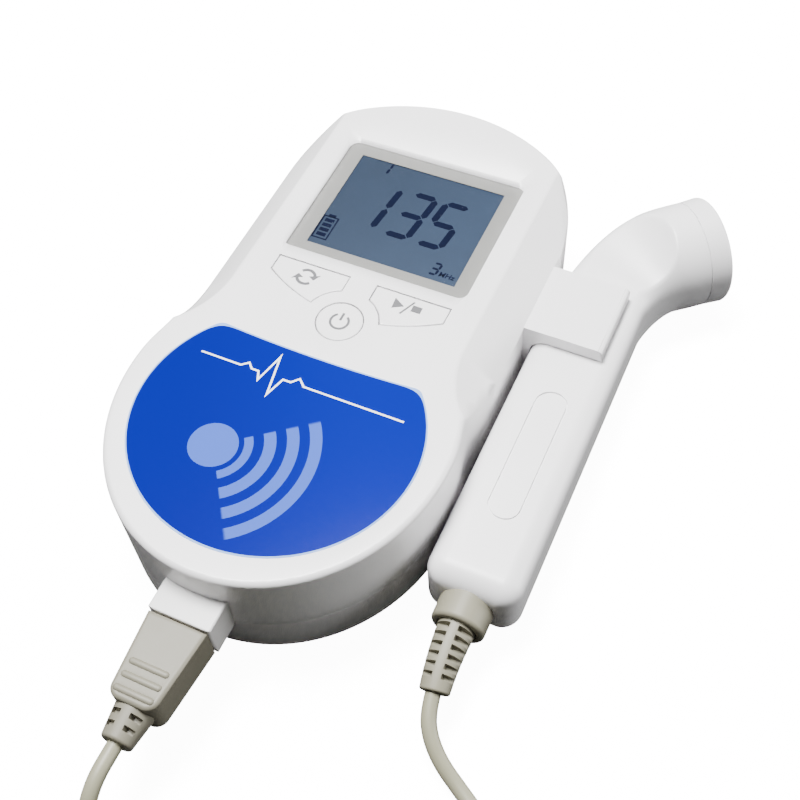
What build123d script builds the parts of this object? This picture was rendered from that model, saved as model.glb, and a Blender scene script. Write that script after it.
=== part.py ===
from build123d import *
import math
import os

# Hand-held fetal doppler: a console with a display, three keys and a side holder,
# and a bent probe on a lead.
# Millimetres. +Y runs up the console towards the display, +X towards the probe, +Z out of the face.
# The origin is the middle of the console's flat base.

# ---- clearances ----
fit_gap = 0.3  # between pieces that move on each other
seat_gap = 0.1  # round pieces that are set into a recess
pin_gap = 0.05  # round pivots and shafts

# ---- console case ----
case_length = 136.0
parting_height = 12.0
side_wall = 2.0
face_wall = 3.0
base_wall = 2.0
lobe_half_width = 36.3
lobe_half_length = 40.2
lobe_start = 2.8  # the round lobe begins this far above its widest line
dome_radius = 43.7
shoulder_radius = 25.5
neck_half_width = 35.2
neck_rise = 23.8  # from the lobe's centre up to the foot of the straight neck
waist_half_width = 34.4
face_edge_radius = 1.3
base_edge_radius = 3.0
seam_edge = 0.3  # bevel on both covers where they meet
facet_crease = 27.6  # half width of the flat face between the two sloped facets
facet_drop = 7.0
facet_rise = 27.8  # from the lobe's centre up to where the facets start to flare out
facet_flare_radius = 22.7

# ---- display ----
window_reach = 26.2  # from the dome's centre up to the window's upper edge
window_key_gap = 3.6  # from the side keys' upper edge up to the window
window_side_gap = 12.75  # from the neck's side to the window
window_corner = 2.2
window_recess = 1.2
window_thickness = 1.0
window_ledge = 2.6
lcd_side_gap = 0.35  # between the ledge under the window and the glass
lcd_end_gap = 0.2
lcd_thickness = 3.0
backlight_rim = 4.0

# ---- keys ----
key_rise = 24.8  # from the lobe's centre up to the power key
key_gap = 0.25
key_travel = 0.5
key_flange = 0.9
key_flange_thickness = 1.0
key_edge_radius = 0.3
power_key_radius = 5.1
side_key_ring = 8.6  # the side keys curve round the power key at this radius
side_key_inner = 3.4
side_key_outer = 20.7
side_key_top = 12.1  # these heights count from the middle of the power key
side_key_shoulder = 8.0
side_key_belly = (14.9, 4.8)
side_key_foot = 2.5

# ---- label ----
label_drop = 4.3  # from the lobe's centre down to the label's
label_half_width = 30.8
label_half_length = 29.7
label_top_height = 18.5  # above the label's centre
label_top_radius = 310.0
label_corner = 2.6
label_thickness = 0.3

# ---- main board ----
board_drop = 6.0  # from the underside of the face down to the board
board_side_gap = 10.7  # from the neck's side to the board's edge
board_low_drop = 22.2  # from the lobe's centre
board_high_rise = 24.2  # from the dome's centre
board_corner = 3.0
board_thickness = 1.6
switch_size = 6.0
switch_body_height = 2.6
switch_height = 3.4
plunger_radius = 1.7
# chips: middle across, middle above the lobe's centre, width, length, height
chip_sizes = [
    (-8.0, 4.0, 10.0, 10.0, 1.4), (10.0, 4.0, 7.0, 5.0, 1.6), (-12.0, -10.0, 6.0, 5.0, 1.6),
    (8.0, -10.0, 9.0, 4.0, 1.2), (0.0, 13.0, 12.0, 3.0, 1.0),
]
capacitor_radius = 2.5
capacitor_height = 4.5

# ---- fasteners ----
case_screw_x = (19.5, 20.5)
case_screw_drop = 27.2  # from the lobe's centre
case_screw_rise = 29.7  # from the dome's centre
case_screw_radius = 1.4
case_screw_head_radius = 2.7
case_screw_head_height = 1.8
case_screw_length = 16.0
case_screw_sink = 4.0
case_boss_radius = 4.2
board_screw_margin = 2.3  # from the board's edge
board_screw_radius = 1.0
board_screw_head_radius = 1.9
board_screw_head_height = 1.2
board_screw_length = 6.0
board_boss_radius = 2.2
cross_width = 0.7
cross_depth = 0.9

# ---- battery bay ----
bay_drop = 1.7  # from the lobe's centre down to the middle of the bay
cell_radius = 7.15
cell_length = 49.3
cell_nub_radius = 2.7
cell_nub_height = 1.2
cell_pitch = 15.0
spring_length = 3.4
spring_radius = 3.2
spring_wire = 0.5
contact_plate = 0.3
contact_plate_size = 10.0
bay_wall = 1.4
door_thickness = 1.8
door_margin = 0.7  # the door covers the bay's walls by this much at its sides
door_pivot_end = 2.4
door_pivot_radius = 0.6
door_pivot_length = 1.2
door_latch_end = 2.2
door_latch_width = 10.0
door_latch_thickness = 1.2
door_latch_height = 5.0
door_corner = 2.0
grip_lines = 5
grip_pitch = 1.6
grip_width = 0.6
grip_depth = 0.3

# ---- loudspeaker ----
speaker_rise = 7.7  # from the dome's centre
speaker_radius = 14.0
speaker_height = 5.2
speaker_magnet_radius = 7.5
speaker_magnet_height = 3.0
speaker_rim = 1.6
speaker_ring_wall = 1.2
speaker_ring_height = 3.0
grille_slot_width = 1.4
grille_slot_pitch = 3.2
grille_margin = 2.5
grille_rows = 7

# ---- volume wheel and headphone jack on the left side ----
wheel_radius = 8.0
wheel_thickness = 3.2
wheel_proud = 1.5
wheel_level = 15.4
wheel_edge_radius = 0.5
wheel_knurls = 30
wheel_knurl_radius = 0.35
wheel_shaft_radius = 1.5
pot_size = 9.0
pot_height = 2.4
pot_arm = 1.2
pot_post = 2.0
jack_wheel_gap = 10.8  # between the jack's body and the wheel
jack_level = 15.0
jack_bore_radius = 1.8
jack_nose_radius = 3.0
jack_length = 12.0
jack_size = 7.0

# ---- probe holder ----
holder_drop = 8.5  # from the dome's centre down to the holder's lower edge
holder_length = 19.2
holder_hold = 6.1  # how far the jaws reach past the middle of the handle
holder_web = 1.6
holder_foot_gap = 0.2  # above the surface the console rests on
holder_tongue = 0.8
holder_tongue_margin = 1.6
holder_edge_radius = 1.1

# ---- probe handle and head ----
handle_width = 20.2
handle_lobe_gap = 0.8
handle_thickness = 16.5
handle_back = 2.0
handle_corner = 4.3
handle_foot_drop = 17.4  # from the lobe's centre
handle_foot_radius = 4.0
handle_foot_wall = 3.4
probe_wall = 1.6
bend_rise = 8.3  # from the dome's centre up to where the handle starts to bend
bend_radius = 30.7
bend_angle = 49.0
# sections through the bend: share of the turn, growth in width, growth at the back, corner radius
bend_sections = [(0.33, 1.0, 0.4, 4.8), (0.67, 3.0, 1.0, 5.6)]
head_radius = 12.65
head_level = 12.8
head_length = 9.6  # from the end of the bend to the rim
head_ring_length = 5.2
head_ring_wall = 1.5
head_ring_lip = 1.2
head_ring_edge = 1.0
head_neck_step = 0.3
head_neck_length = 3.0
panel_width = 7.2
panel_foot_rise = 16.25  # from the handle's foot up to the panel
panel_dome_drop = 19.75  # from the dome's centre down to the panel
panel_groove = 0.4
panel_groove_depth = 0.25

# ---- transducer ----
lens_thickness = 1.6
lens_sink = 0.4
lens_dome = 0.4
crystal_radius = 9.2
crystal_thickness = 1.0
crystal_slit = 0.8
damper_radius = 9.6
damper_length = 5.0
probe_board_width = 11.0
probe_board_thickness = 1.2
probe_board_foot_rise = 16.2
probe_board_dome_drop = 9.3
probe_screw_foot_rise = 11.2
probe_screw_dome_drop = 2.3
probe_screw_radius = 1.0
probe_screw_head_radius = 1.9
probe_screw_head_height = 1.2
probe_screw_length = 11.0
probe_screw_sink = 2.0
probe_boss_radius = 2.6
wire_radius = 0.45
wire_spread = 4.0
wire_bend = 8.0

# ---- probe boot ----
boot_collar_radius = 5.65
boot_collar_length = 6.8
boot_collar_seat = 1.3
boot_collar_edge = 0.9
boot_neck_radius = 3.9
boot_tip_radius = 3.05
boot_length = 13.2
boot_flange_radius = 5.2
boot_flange_thickness = 1.2
boot_end_droop = 14.0
boot_end_turn = 8.0
boot_slot_rows = 6
boot_slot_width = 1.0
boot_slot_depth = 0.9
boot_spine = 1.6

# ---- lead socket and plug ----
socket_width = 13.8
socket_height = 10.0
socket_level = 15.8
socket_proud = 5.7
socket_depth = 7.0
socket_edge_radius = 0.5
socket_flange = 2.0
socket_flange_thickness = 1.2
plug_gap = 0.6
plug_width = 13.0
plug_height = 9.8
plug_length = 17.6
plug_taper = 1.5  # how much narrower each side is at the cord's end
plug_corner = 2.6
plug_edge_radius = 0.9
plug_travel = 5.0
tongue_width = 9.0
tongue_height = 5.0
tongue_length = 4.4
contact_count = 6
contact_size = 0.6
contact_length = 3.0
contact_pitch = 1.3
ribbon_thickness = 0.35
relief_length = 6.4
relief_root_radius = 4.1
relief_tip_radius = 3.2
relief_slot_rows = 2
relief_slot_pitch = 2.3
ridge_count = 3
ridge_pitch = 2.75
ridge_width = 0.6
ridge_depth = 0.45
ridge_length = 8.4
ridge_start = 2.0

# ---- cord ----
cord_radius = 1.6
cord_grip = 1.0  # how far the cord reaches into the plug
coil_centre = (42.0, -125.0)
coil_mid_radius = 18.0
coil_turns_across = 4
coil_turns_high = 2
tie_width = 6.0
tie_thickness = 0.8
tie_angle = 140.0  # round the coil from +X
probe_leg_angle = -30.0  # where each leg runs into the coil's outer turn
plug_leg_angle = -110.0

# worked out from the sizes above
half_length = case_length / 2
lobe_centre = lobe_half_length - half_length
dome_centre = half_length - dome_radius
power_key_centre = lobe_centre + key_rise
window_low = power_key_centre + side_key_top + window_key_gap
window_high = dome_centre + window_reach
window_height = window_high - window_low
window_width = 2 * (neck_half_width - window_side_gap)
window_centre = (window_low + window_high) / 2
lcd_width = window_width - 2 * (window_ledge + lcd_side_gap)
lcd_height = window_height - 2 * (window_ledge + lcd_end_gap)
label_centre = lobe_centre - label_drop
board_width = 2 * (neck_half_width - board_side_gap)
board_screw_x = board_width / 2 - board_screw_margin
board_low = lobe_centre - board_low_drop
board_high = dome_centre + board_high_rise
bay_centre = lobe_centre - bay_drop
bay_half_length = (cell_length + cell_nub_height + spring_length) / 2 + contact_plate
bay_half_width = cell_pitch / 2 + cell_radius + fit_gap
bay_low = bay_centre - bay_half_width
bay_high = bay_centre + bay_half_width
cell_level = door_thickness + fit_gap + cell_radius
bay_roof = cell_level + cell_radius + fit_gap
board_bottom = bay_roof + bay_wall + fit_gap
board_top = board_bottom + board_thickness
face_under = board_top + board_drop
case_height = face_under + face_wall
window_top = case_height - window_recess
lcd_top = window_top - window_thickness - seat_gap
door_half = bay_half_length + door_margin
door_low = bay_low - door_latch_end
door_high = bay_high + door_pivot_end
door_pivot = (door_high - door_thickness / 2, door_thickness / 2)
speaker_centre = dome_centre + speaker_rise
wheel_x = wheel_radius - wheel_proud - neck_half_width
wheel_low = wheel_level - wheel_thickness / 2
jack_place = dome_centre - wheel_radius - jack_wheel_gap - jack_size / 2
holder_low = dome_centre - holder_drop
holder_high = holder_low + holder_length
holder_top = case_height - facet_drop
handle_front = handle_back + handle_thickness
handle_level = (handle_back + handle_front) / 2
handle_side = max(neck_half_width + holder_web + fit_gap, lobe_half_width + handle_lobe_gap)
handle_centre = handle_side + handle_width / 2
holder_reach = handle_centre + holder_hold - neck_half_width
handle_foot = lobe_centre - handle_foot_drop
bend_start = dome_centre + bend_rise
head_neck_radius = head_radius - head_neck_step
head_seam = head_length - head_ring_length
panel_low = handle_foot + panel_foot_rise
panel_high = dome_centre - panel_dome_drop
panel_length = panel_high - panel_low
probe_board_low = handle_foot + probe_board_foot_rise
probe_board_high = dome_centre - probe_board_dome_drop
probe_screw_places = [handle_foot + probe_screw_foot_rise, dome_centre - probe_screw_dome_drop]
socket_face = -half_length - socket_proud
socket_root = socket_face + socket_proud + socket_depth
plug_front = socket_face - plug_gap
plug_back = plug_front - plug_length
relief_tip = plug_back - relief_length
cord_start = plug_back + cord_grip
coil_width = 2 * cord_radius * coil_turns_across
coil_height = 2 * cord_radius * coil_turns_high


def block(x0, x1, y0, y1, z0, z1):
    """A box between two corners."""
    return Pos((x0 + x1) / 2, (y0 + y1) / 2, (z0 + z1) / 2) * Box(x1 - x0, y1 - y0, z1 - z0)


def drum(radius, z0, z1, x=0.0, y=0.0):
    """An upright cylinder between two heights."""
    return Pos(x, y, (z0 + z1) / 2) * Cylinder(radius, z1 - z0)


def rod_along_y(radius, y0, y1, x, z):
    return Pos(x, (y0 + y1) / 2, z) * Rot(90, 0, 0) * Cylinder(radius, y1 - y0)


def rod_along_x(radius, x0, x1, y, z):
    return Pos((x0 + x1) / 2, y, z) * Rot(0, 90, 0) * Cylinder(radius, x1 - x0)


def plate(outline, low, high):
    """A flat outline raised between two heights."""
    return extrude(Pos(0, 0, low) * outline, amount=high - low)


def group(pieces):
    return Compound(children=[piece.solid() for piece in pieces])


def save(shape, node):
    """Writes one piece, or a group of like pieces, as one STEP file."""
    solids = shape.solids()
    piece = solids[0] if len(solids) == 1 else Compound(children=list(solids))
    piece.label = node
    export_step(piece, f"parts/{node}.step")
    print(node, len(solids), round(sum(s.volume for s in solids), 1))


# ---- the console's outer form ----
def case_outline(inset=0.0):
    """Plan outline: a round lobe, a neck with parallel sides and a domed head, all smoothly joined."""
    half_width = lobe_half_width - inset
    half_lobe = lobe_half_length - inset
    neck = neck_half_width - inset
    dome = dome_radius - inset
    shoulder = shoulder_radius - inset
    shoulder_x = neck - shoulder
    shoulder_y = dome_centre + math.sqrt((dome - shoulder) ** 2 - shoulder_x**2)
    joint = math.acos(shoulder_x / (dome - shoulder))
    neck_low = lobe_centre + neck_rise
    waist_y = lobe_centre + (neck_rise + lobe_start) / 2
    lobe_angle = math.asin(lobe_start / half_lobe)
    lobe_end = (half_width * math.cos(lobe_angle), lobe_centre + lobe_start)
    lobe_heading = (half_width * math.sin(lobe_angle), -half_lobe * math.cos(lobe_angle))
    with BuildSketch() as sketch:
        with BuildLine():
            CenterArc((0, dome_centre), dome, math.degrees(joint), 90 - math.degrees(joint))
            CenterArc((shoulder_x, shoulder_y), shoulder, 0, math.degrees(joint))
            Line((neck, shoulder_y), (neck, neck_low))
            Spline(
                (neck, neck_low), (waist_half_width - inset, waist_y), lobe_end,
                tangents=[(0, -1), lobe_heading],
            )
            EllipticalCenterArc(
                (0, lobe_centre), half_width, half_lobe,
                start_angle=-90, arc_size=90 + math.degrees(lobe_angle)
            )
            mirror(about=Plane.YZ)
        make_face()
    return sketch.sketch


def facet_cutter(inset=0.0):
    """What the sloped facet takes off the right edge of the face, sheared outwards as it goes down."""
    lift = 2.0
    slope = (neck_half_width - facet_crease) / facet_drop
    crease = facet_crease - lift * slope - inset * math.hypot(1.0, slope)
    start = lobe_centre + facet_rise
    end = half_length + 10
    far = crease + 40
    middle_turn, end_turn = math.radians(35), math.radians(65)
    middle_x = crease + facet_flare_radius * (1 - math.cos(middle_turn))
    flare_x = crease + facet_flare_radius * (1 - math.cos(end_turn))
    middle_y = start - facet_flare_radius * math.sin(middle_turn)
    flare_y = start - facet_flare_radius * math.sin(end_turn)
    with BuildSketch(Plane.XY.offset(case_height + lift)) as sketch:
        with BuildLine():
            Line((crease, end), (crease, start))
            ThreePointArc((crease, start), (middle_x, middle_y), (flare_x, flare_y))
            Polyline((flare_x, flare_y), (far, flare_y), (far, end), (crease, end))
        make_face()
    depth = facet_drop + lift + 6
    return extrude(sketch.sketch, amount=depth * math.hypot(1.0, slope), dir=(slope, 0, -1))


def with_facets(form, inset=0.0):
    cutter = facet_cutter(inset)
    return form - cutter - mirror(cutter, about=Plane.YZ)


def side_key_outline(grow=0.0):
    """The right-hand side key, curved round the power key."""
    ring = side_key_ring - grow
    inner = side_key_inner - grow
    outer = side_key_outer + grow
    foot_y = side_key_foot - grow
    foot_x = math.sqrt(ring**2 - foot_y**2)
    inner_y = math.sqrt(ring**2 - inner**2)
    middle = math.atan2(foot_y + inner_y, foot_x + inner)
    top = side_key_top + grow
    shoulder = side_key_shoulder - grow
    belly = (side_key_belly[0], side_key_belly[1] - grow)
    with BuildSketch() as sketch:
        with BuildLine():
            Polyline((inner, inner_y), (inner, top), (outer, top), (outer, shoulder))
            ThreePointArc((outer, shoulder), belly, (foot_x, foot_y))
            ThreePointArc(
                (foot_x, foot_y), (ring * math.cos(middle), ring * math.sin(middle)), (inner, inner_y)
            )
        make_face()
    return Pos(0, power_key_centre) * sketch.sketch


def power_key_outline(grow=0.0):
    return Pos(0, power_key_centre) * Circle(power_key_radius + grow)


def label_outline(grow=0.0):
    """The face label: an ellipse with a slightly hollow top edge."""
    shape = Ellipse(label_half_width + grow, label_half_length + grow)
    shape -= Pos(0, label_top_height + grow + label_top_radius) * Circle(label_top_radius)
    corners = shape.vertices().sort_by(Axis.Y)[-2:]
    return Pos(0, label_centre) * fillet(corners, label_corner)


def window_outline(grow=0.0):
    outline = RectangleRounded(window_width + 2 * grow, window_height + 2 * grow, window_corner)
    return Pos(0, window_centre) * outline


# ---- places shared by more than one piece ----
def case_screw_places():
    lower, upper = case_screw_x
    low_y = lobe_centre - case_screw_drop
    high_y = dome_centre + case_screw_rise
    return [(-lower, low_y), (lower, low_y), (-upper, high_y), (upper, high_y)]


def board_screw_places():
    low_y = bay_high + bay_wall + board_screw_head_radius + 2 * seat_gap
    high_y = board_high - 2 * board_boss_radius
    return [(x, y) for y in (low_y, high_y) for x in (-board_screw_x, board_screw_x)]


def switch_places():
    side = (side_key_inner + side_key_outer) / 2
    side_y = power_key_centre + side_key_shoulder
    return {"mode": (-side, side_y), "power": (0, power_key_centre), "start": (side, side_y)}


def screw(x, y, radius, head_radius, head_height, low, length):
    """A cross-head screw with its head down."""
    body = drum(head_radius, low, low + head_height, x, y)
    body += drum(radius - seat_gap / 5, low, low + length, x, y)
    long = head_radius * 1.1
    for run, rise in ((long, cross_width), (cross_width, long)):
        body -= block(x - run / 2, x + run / 2, y - rise / 2, y + rise / 2, low - 1, low + cross_depth)
    return body


def holder_tongue_block(gap):
    """The pad that locates the holder in a pocket of the case's side."""
    margin = holder_tongue_margin - gap
    return block(
        neck_half_width - holder_tongue - gap, neck_half_width + holder_web / 2,
        holder_low + margin, holder_high - margin,
        base_edge_radius + margin, holder_top - margin,
    )


def wheel_slot():
    return drum(
        wheel_radius + fit_gap, wheel_low - fit_gap, wheel_low + wheel_thickness + fit_gap,
        wheel_x, dome_centre,
    )


def jack_hole():
    return rod_along_x(
        jack_nose_radius + seat_gap, -neck_half_width - 1, -neck_half_width + side_wall + 1,
        jack_place, jack_level,
    )


def socket_block(grow, y0, y1):
    half = socket_width / 2 + grow
    rise = socket_height / 2 + grow
    return block(-half, half, y0, y1, socket_level - rise, socket_level + rise)


# ---- console covers ----
def make_front_cover():
    outer = with_facets(plate(case_outline(), parting_height, case_height))
    outer = fillet(outer.faces().sort_by(Axis.Z)[-1].edges(), face_edge_radius)
    outer = chamfer(outer.faces().sort_by(Axis.Z)[0].edges(), seam_edge)
    shell = outer - with_facets(plate(case_outline(side_wall), parting_height - 1, face_under), side_wall)
    # window, keys and label
    shell -= plate(window_outline(seat_gap), window_top - window_thickness, case_height + 1)
    shell -= plate(window_outline(-window_ledge), face_under - 1, case_height)
    side_hole = side_key_outline(key_gap)
    for outline in (side_hole, mirror(side_hole, about=Plane.YZ), power_key_outline(key_gap)):
        shell -= plate(outline, face_under - 1, case_height + 1)
    shell -= plate(label_outline(seat_gap), case_height - label_thickness, case_height + 1)
    # bosses for the case screws and for the board
    pilot_top = case_screw_sink - case_screw_head_height + case_screw_length + fit_gap
    for x, y in case_screw_places():
        shell += drum(case_boss_radius, parting_height, face_under + face_wall / 6, x, y)
        shell -= drum(case_screw_radius, parting_height - 1, pilot_top, x, y)
    pilot_top = board_bottom - board_screw_head_height + board_screw_length + fit_gap
    for x, y in board_screw_places():
        shell += drum(board_boss_radius, board_top, face_under + face_wall / 6, x, y)
        shell -= drum(board_screw_radius, board_top - 1, pilot_top, x, y)
    # side openings
    shell -= wheel_slot()
    shell -= jack_hole()
    shell -= holder_tongue_block(seat_gap)
    return shell - socket_block(seat_gap, -half_length - 10, lobe_centre)


def make_rear_cover():
    outer = plate(case_outline(), 0, parting_height)
    outer = fillet(outer.faces().sort_by(Axis.Z)[0].edges(), base_edge_radius)
    outer = chamfer(outer.faces().sort_by(Axis.Z)[-1].edges(), seam_edge)
    shell = outer - plate(case_outline(side_wall), base_wall, parting_height + 1)
    # battery bay: a box with a roof, open below where the door is
    half = bay_half_length + bay_wall
    shell += block(
        -half, half, bay_low - bay_wall, bay_high + door_pivot_end + bay_wall,
        base_wall / 2, bay_roof + bay_wall,
    )
    shell -= block(-bay_half_length, bay_half_length, bay_low, bay_high, -1, bay_roof)
    # the upper step of the bay ends below the board's screws
    shell -= block(
        -half - 1, half + 1, bay_high + bay_wall, door_high + 2 * bay_wall,
        base_wall + bay_wall, case_height,
    )
    for cutter in door_room():
        shell -= cutter
    # case screw wells
    for x, y in case_screw_places():
        shell += drum(case_boss_radius, base_wall / 2, parting_height, x, y)
        shell -= drum(case_screw_radius + seat_gap, -1, parting_height + 1, x, y)
        shell -= drum(case_screw_head_radius + fit_gap, -1, case_screw_sink, x, y)
    # loudspeaker ring and grille
    ring_radius = speaker_radius + fit_gap
    ring_top = base_wall + speaker_ring_height
    ring = drum(ring_radius + speaker_ring_wall, base_wall / 2, ring_top, 0, speaker_centre)
    shell += ring - drum(ring_radius, 0, ring_top + 1, 0, speaker_centre)
    for slot in grille_slots():
        shell -= slot
    shell -= holder_tongue_block(seat_gap)
    return shell - socket_block(seat_gap, -half_length - 10, lobe_centre - lobe_half_length / 2)


def grille_slots():
    """Rows of round-ended slots that fill a circle under the loudspeaker."""
    slots = []
    for row in range(grille_rows):
        offset = (row - (grille_rows - 1) / 2) * grille_slot_pitch
        length = 2 * math.sqrt((speaker_radius - grille_margin) ** 2 - offset**2)
        outline = Pos(0, speaker_centre + offset) * SlotOverall(length, grille_slot_width)
        slots.append(plate(outline, -1, base_wall + 1))
    return slots


def make_holder():
    """The C-shaped holder at the console's right side, open away from the console."""
    left = neck_half_width
    outer = block(left, left + holder_reach, holder_low, holder_high, holder_foot_gap, holder_top)
    right_edges = outer.edges().filter_by(Axis.Y).sort_by(Axis.X)[-2:]
    outer = fillet(right_edges, holder_edge_radius)
    slot_width = 2 * (holder_reach + holder_web)
    slot_height = handle_thickness + 2 * fit_gap
    outline = RectangleRounded(slot_width, slot_height, handle_corner)
    place = Plane(
        origin=(left + holder_web + slot_width / 2, holder_high + 1, handle_level),
        x_dir=(1, 0, 0), z_dir=(0, -1, 0),
    )
    slot = extrude(place * outline, amount=holder_length + 2)
    return outer - slot + holder_tongue_block(0)


# ---- battery door and cells ----
def door_room():
    """The recess for the door's plate, the latch's slot and the sockets of its pivots."""
    plate_room = block(
        -door_half - fit_gap, door_half + fit_gap, door_low - fit_gap, door_high + fit_gap, -1,
        door_thickness + seat_gap,
    )
    latch_room = block(
        -door_latch_width / 2 - fit_gap, door_latch_width / 2 + fit_gap,
        door_low - fit_gap, bay_low + seat_gap, -1, door_thickness + door_latch_height + fit_gap,
    )
    reach = door_half + door_pivot_length + fit_gap
    pivots = rod_along_x(door_pivot_radius + pin_gap, -reach, reach, *door_pivot)
    return plate_room, latch_room, pivots


def make_battery_door():
    """A flat door that turns on two stubs at its upper end and is held by a finger at its lower end."""
    door = block(-door_half, door_half, door_low, door_high, 0, door_thickness)
    door = fillet(door.edges().filter_by(Axis.Z).sort_by(Axis.Y)[:2], door_corner)
    pivot_edges = door.edges().filter_by(Axis.X).sort_by(Axis.Y)[-2:]
    door = fillet(pivot_edges, door_thickness / 2 - pin_gap)
    reach = door_half + door_pivot_length
    door += rod_along_x(door_pivot_radius, -reach, reach, *door_pivot)
    door += block(
        -door_latch_width / 2, door_latch_width / 2,
        door_low, door_low + door_latch_thickness,
        door_thickness / 2, door_thickness + door_latch_height,
    )
    for row in range(grip_lines):
        y = door_low + grip_pitch * (row + 2)
        door -= block(-door_latch_width / 2, door_latch_width / 2, y, y + grip_width, -1, grip_depth)
    return door


def make_cells():
    """Two cells lying side by side, one each way round."""
    cells = []
    for side in (-1, 1):
        y = bay_centre + side * cell_pitch / 2
        start = contact_plate - bay_half_length
        low = start + (spring_length if side < 0 else cell_nub_height)
        cell = rod_along_x(cell_radius, low, low + cell_length, y, cell_level)
        nub = low + cell_length if side < 0 else low - cell_nub_height
        cells.append(cell + rod_along_x(cell_nub_radius, nub, nub + cell_nub_height, y, cell_level))
    return group(cells)


def make_cell_springs():
    """A sprung contact behind each cell's flat end."""
    springs = []
    for side in (-1, 1):
        y = bay_centre + side * cell_pitch / 2
        end = side * (bay_half_length - contact_plate)
        low, high = sorted((end, end - side * spring_length))
        sleeve = rod_along_x(spring_radius, low, high, y, cell_level)
        springs.append(sleeve - rod_along_x(spring_radius - spring_wire, low - 1, high + 1, y, cell_level))
    return group(springs)


def make_cell_plates():
    plates = []
    half = contact_plate_size / 2
    for side in (-1, 1):
        for end in (-1, 1):
            y = bay_centre + side * cell_pitch / 2
            low, high = sorted((end * bay_half_length, end * (bay_half_length - contact_plate)))
            plates.append(block(low, high, y - half, y + half, cell_level - half, cell_level + half))
    return group(plates)


# ---- face pieces ----
def make_lcd_glass():
    half_x, half_y = lcd_width / 2, lcd_height / 2
    return block(
        -half_x, half_x, window_centre - half_y, window_centre + half_y, lcd_top - lcd_thickness, lcd_top
    )


def make_backlight():
    half_x, half_y = lcd_width / 2, lcd_height / 2
    rim = backlight_rim
    high = lcd_top - lcd_thickness
    frame = block(-half_x, half_x, window_centre - half_y, window_centre + half_y, board_top, high)
    return frame - block(
        -half_x + rim, half_x - rim, window_centre - half_y + rim, window_centre + half_y - rim,
        board_top - 1, (board_top + high) / 2,
    )


def make_key(outline, flange, place):
    """A key cap with a flange under the face and a stem above its switch."""
    flange_top = face_under - seat_gap
    flange_low = flange_top - key_flange_thickness
    cap = plate(outline, flange_top, case_height)
    cap = fillet(cap.faces().sort_by(Axis.Z)[-1].edges(), key_edge_radius)
    stem_low = board_top + switch_height + key_travel + seat_gap
    return cap + plate(flange, flange_low, flange_top) + drum(plunger_radius, stem_low, flange_top, *place)


def make_keys():
    places = switch_places()
    side = side_key_outline()
    grow = key_gap + key_flange
    wide = side_key_outline(grow) - power_key_outline(grow + 3 * key_gap)
    mode = make_key(mirror(side, about=Plane.YZ), mirror(wide, about=Plane.YZ), places["mode"])
    power = make_key(power_key_outline(), power_key_outline(grow), places["power"])
    start = make_key(side, wide, places["start"])
    return mode, power, start


# ---- board and what it carries ----
def make_switches():
    switches = []
    half = switch_size / 2
    for x, y in switch_places().values():
        body = block(x - half, x + half, y - half, y + half, board_top, board_top + switch_body_height)
        switches.append(body + drum(plunger_radius, board_top + 1, board_top + switch_height, x, y))
    return group(switches)


def make_board():
    outline = RectangleRounded(board_width, board_high - board_low, board_corner)
    board = plate(Pos(0, (board_low + board_high) / 2) * outline, board_bottom, board_top)
    for x, y in board_screw_places():
        board -= drum(board_screw_radius + seat_gap, board_bottom - 1, board_top + 1, x, y)
    return board


def make_chips():
    """The processor, the driver chips and the tall capacitors on the board's upper side."""
    pieces = []
    for x, rise, width, length, height in chip_sizes:
        y = lobe_centre + rise
        chip = block(-width / 2, width / 2, -length / 2, length / 2, board_top, board_top + height)
        pieces.append(Pos(x, y) * chip)
    for x in (-board_screw_x + capacitor_radius, board_screw_x - capacitor_radius):
        pieces.append(drum(capacitor_radius, board_top, board_top + capacitor_height, x, lobe_centre))
    return group(pieces)


def make_case_screws():
    low = case_screw_sink - case_screw_head_height
    return group(
        screw(
            x, y, case_screw_radius, case_screw_head_radius, case_screw_head_height, low, case_screw_length
        )
        for x, y in case_screw_places()
    )


def make_board_screws():
    low = board_bottom - board_screw_head_height
    return group(
        screw(
            x, y, board_screw_radius, board_screw_head_radius, board_screw_head_height,
            low, board_screw_length,
        )
        for x, y in board_screw_places()
    )


def make_speaker():
    low = base_wall + seat_gap
    high = low + speaker_height
    cone_low = low + speaker_rim
    cone_high = high - speaker_magnet_height / 2
    rim = drum(speaker_radius, low, cone_low, 0, speaker_centre)
    cone = Pos(0, speaker_centre, (cone_low + cone_high) / 2) * Cone(
        speaker_radius - speaker_rim, speaker_magnet_radius, cone_high - cone_low
    )
    return rim + cone + drum(speaker_magnet_radius, high - speaker_magnet_height, high, 0, speaker_centre)


def make_volume_wheel():
    high = wheel_low + wheel_thickness
    wheel = drum(wheel_radius, wheel_low, high, wheel_x, dome_centre)
    wheel = fillet(wheel.edges().filter_by(GeomType.CIRCLE), wheel_edge_radius)
    for k in range(wheel_knurls):
        angle = 2 * math.pi * k / wheel_knurls
        x = wheel_x + wheel_radius * math.cos(angle)
        y = dome_centre + wheel_radius * math.sin(angle)
        wheel -= drum(wheel_knurl_radius, wheel_low - 1, high + 1, x, y)
    return wheel - drum(wheel_shaft_radius + pin_gap, wheel_low - 1, high - 1, wheel_x, dome_centre)


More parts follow.
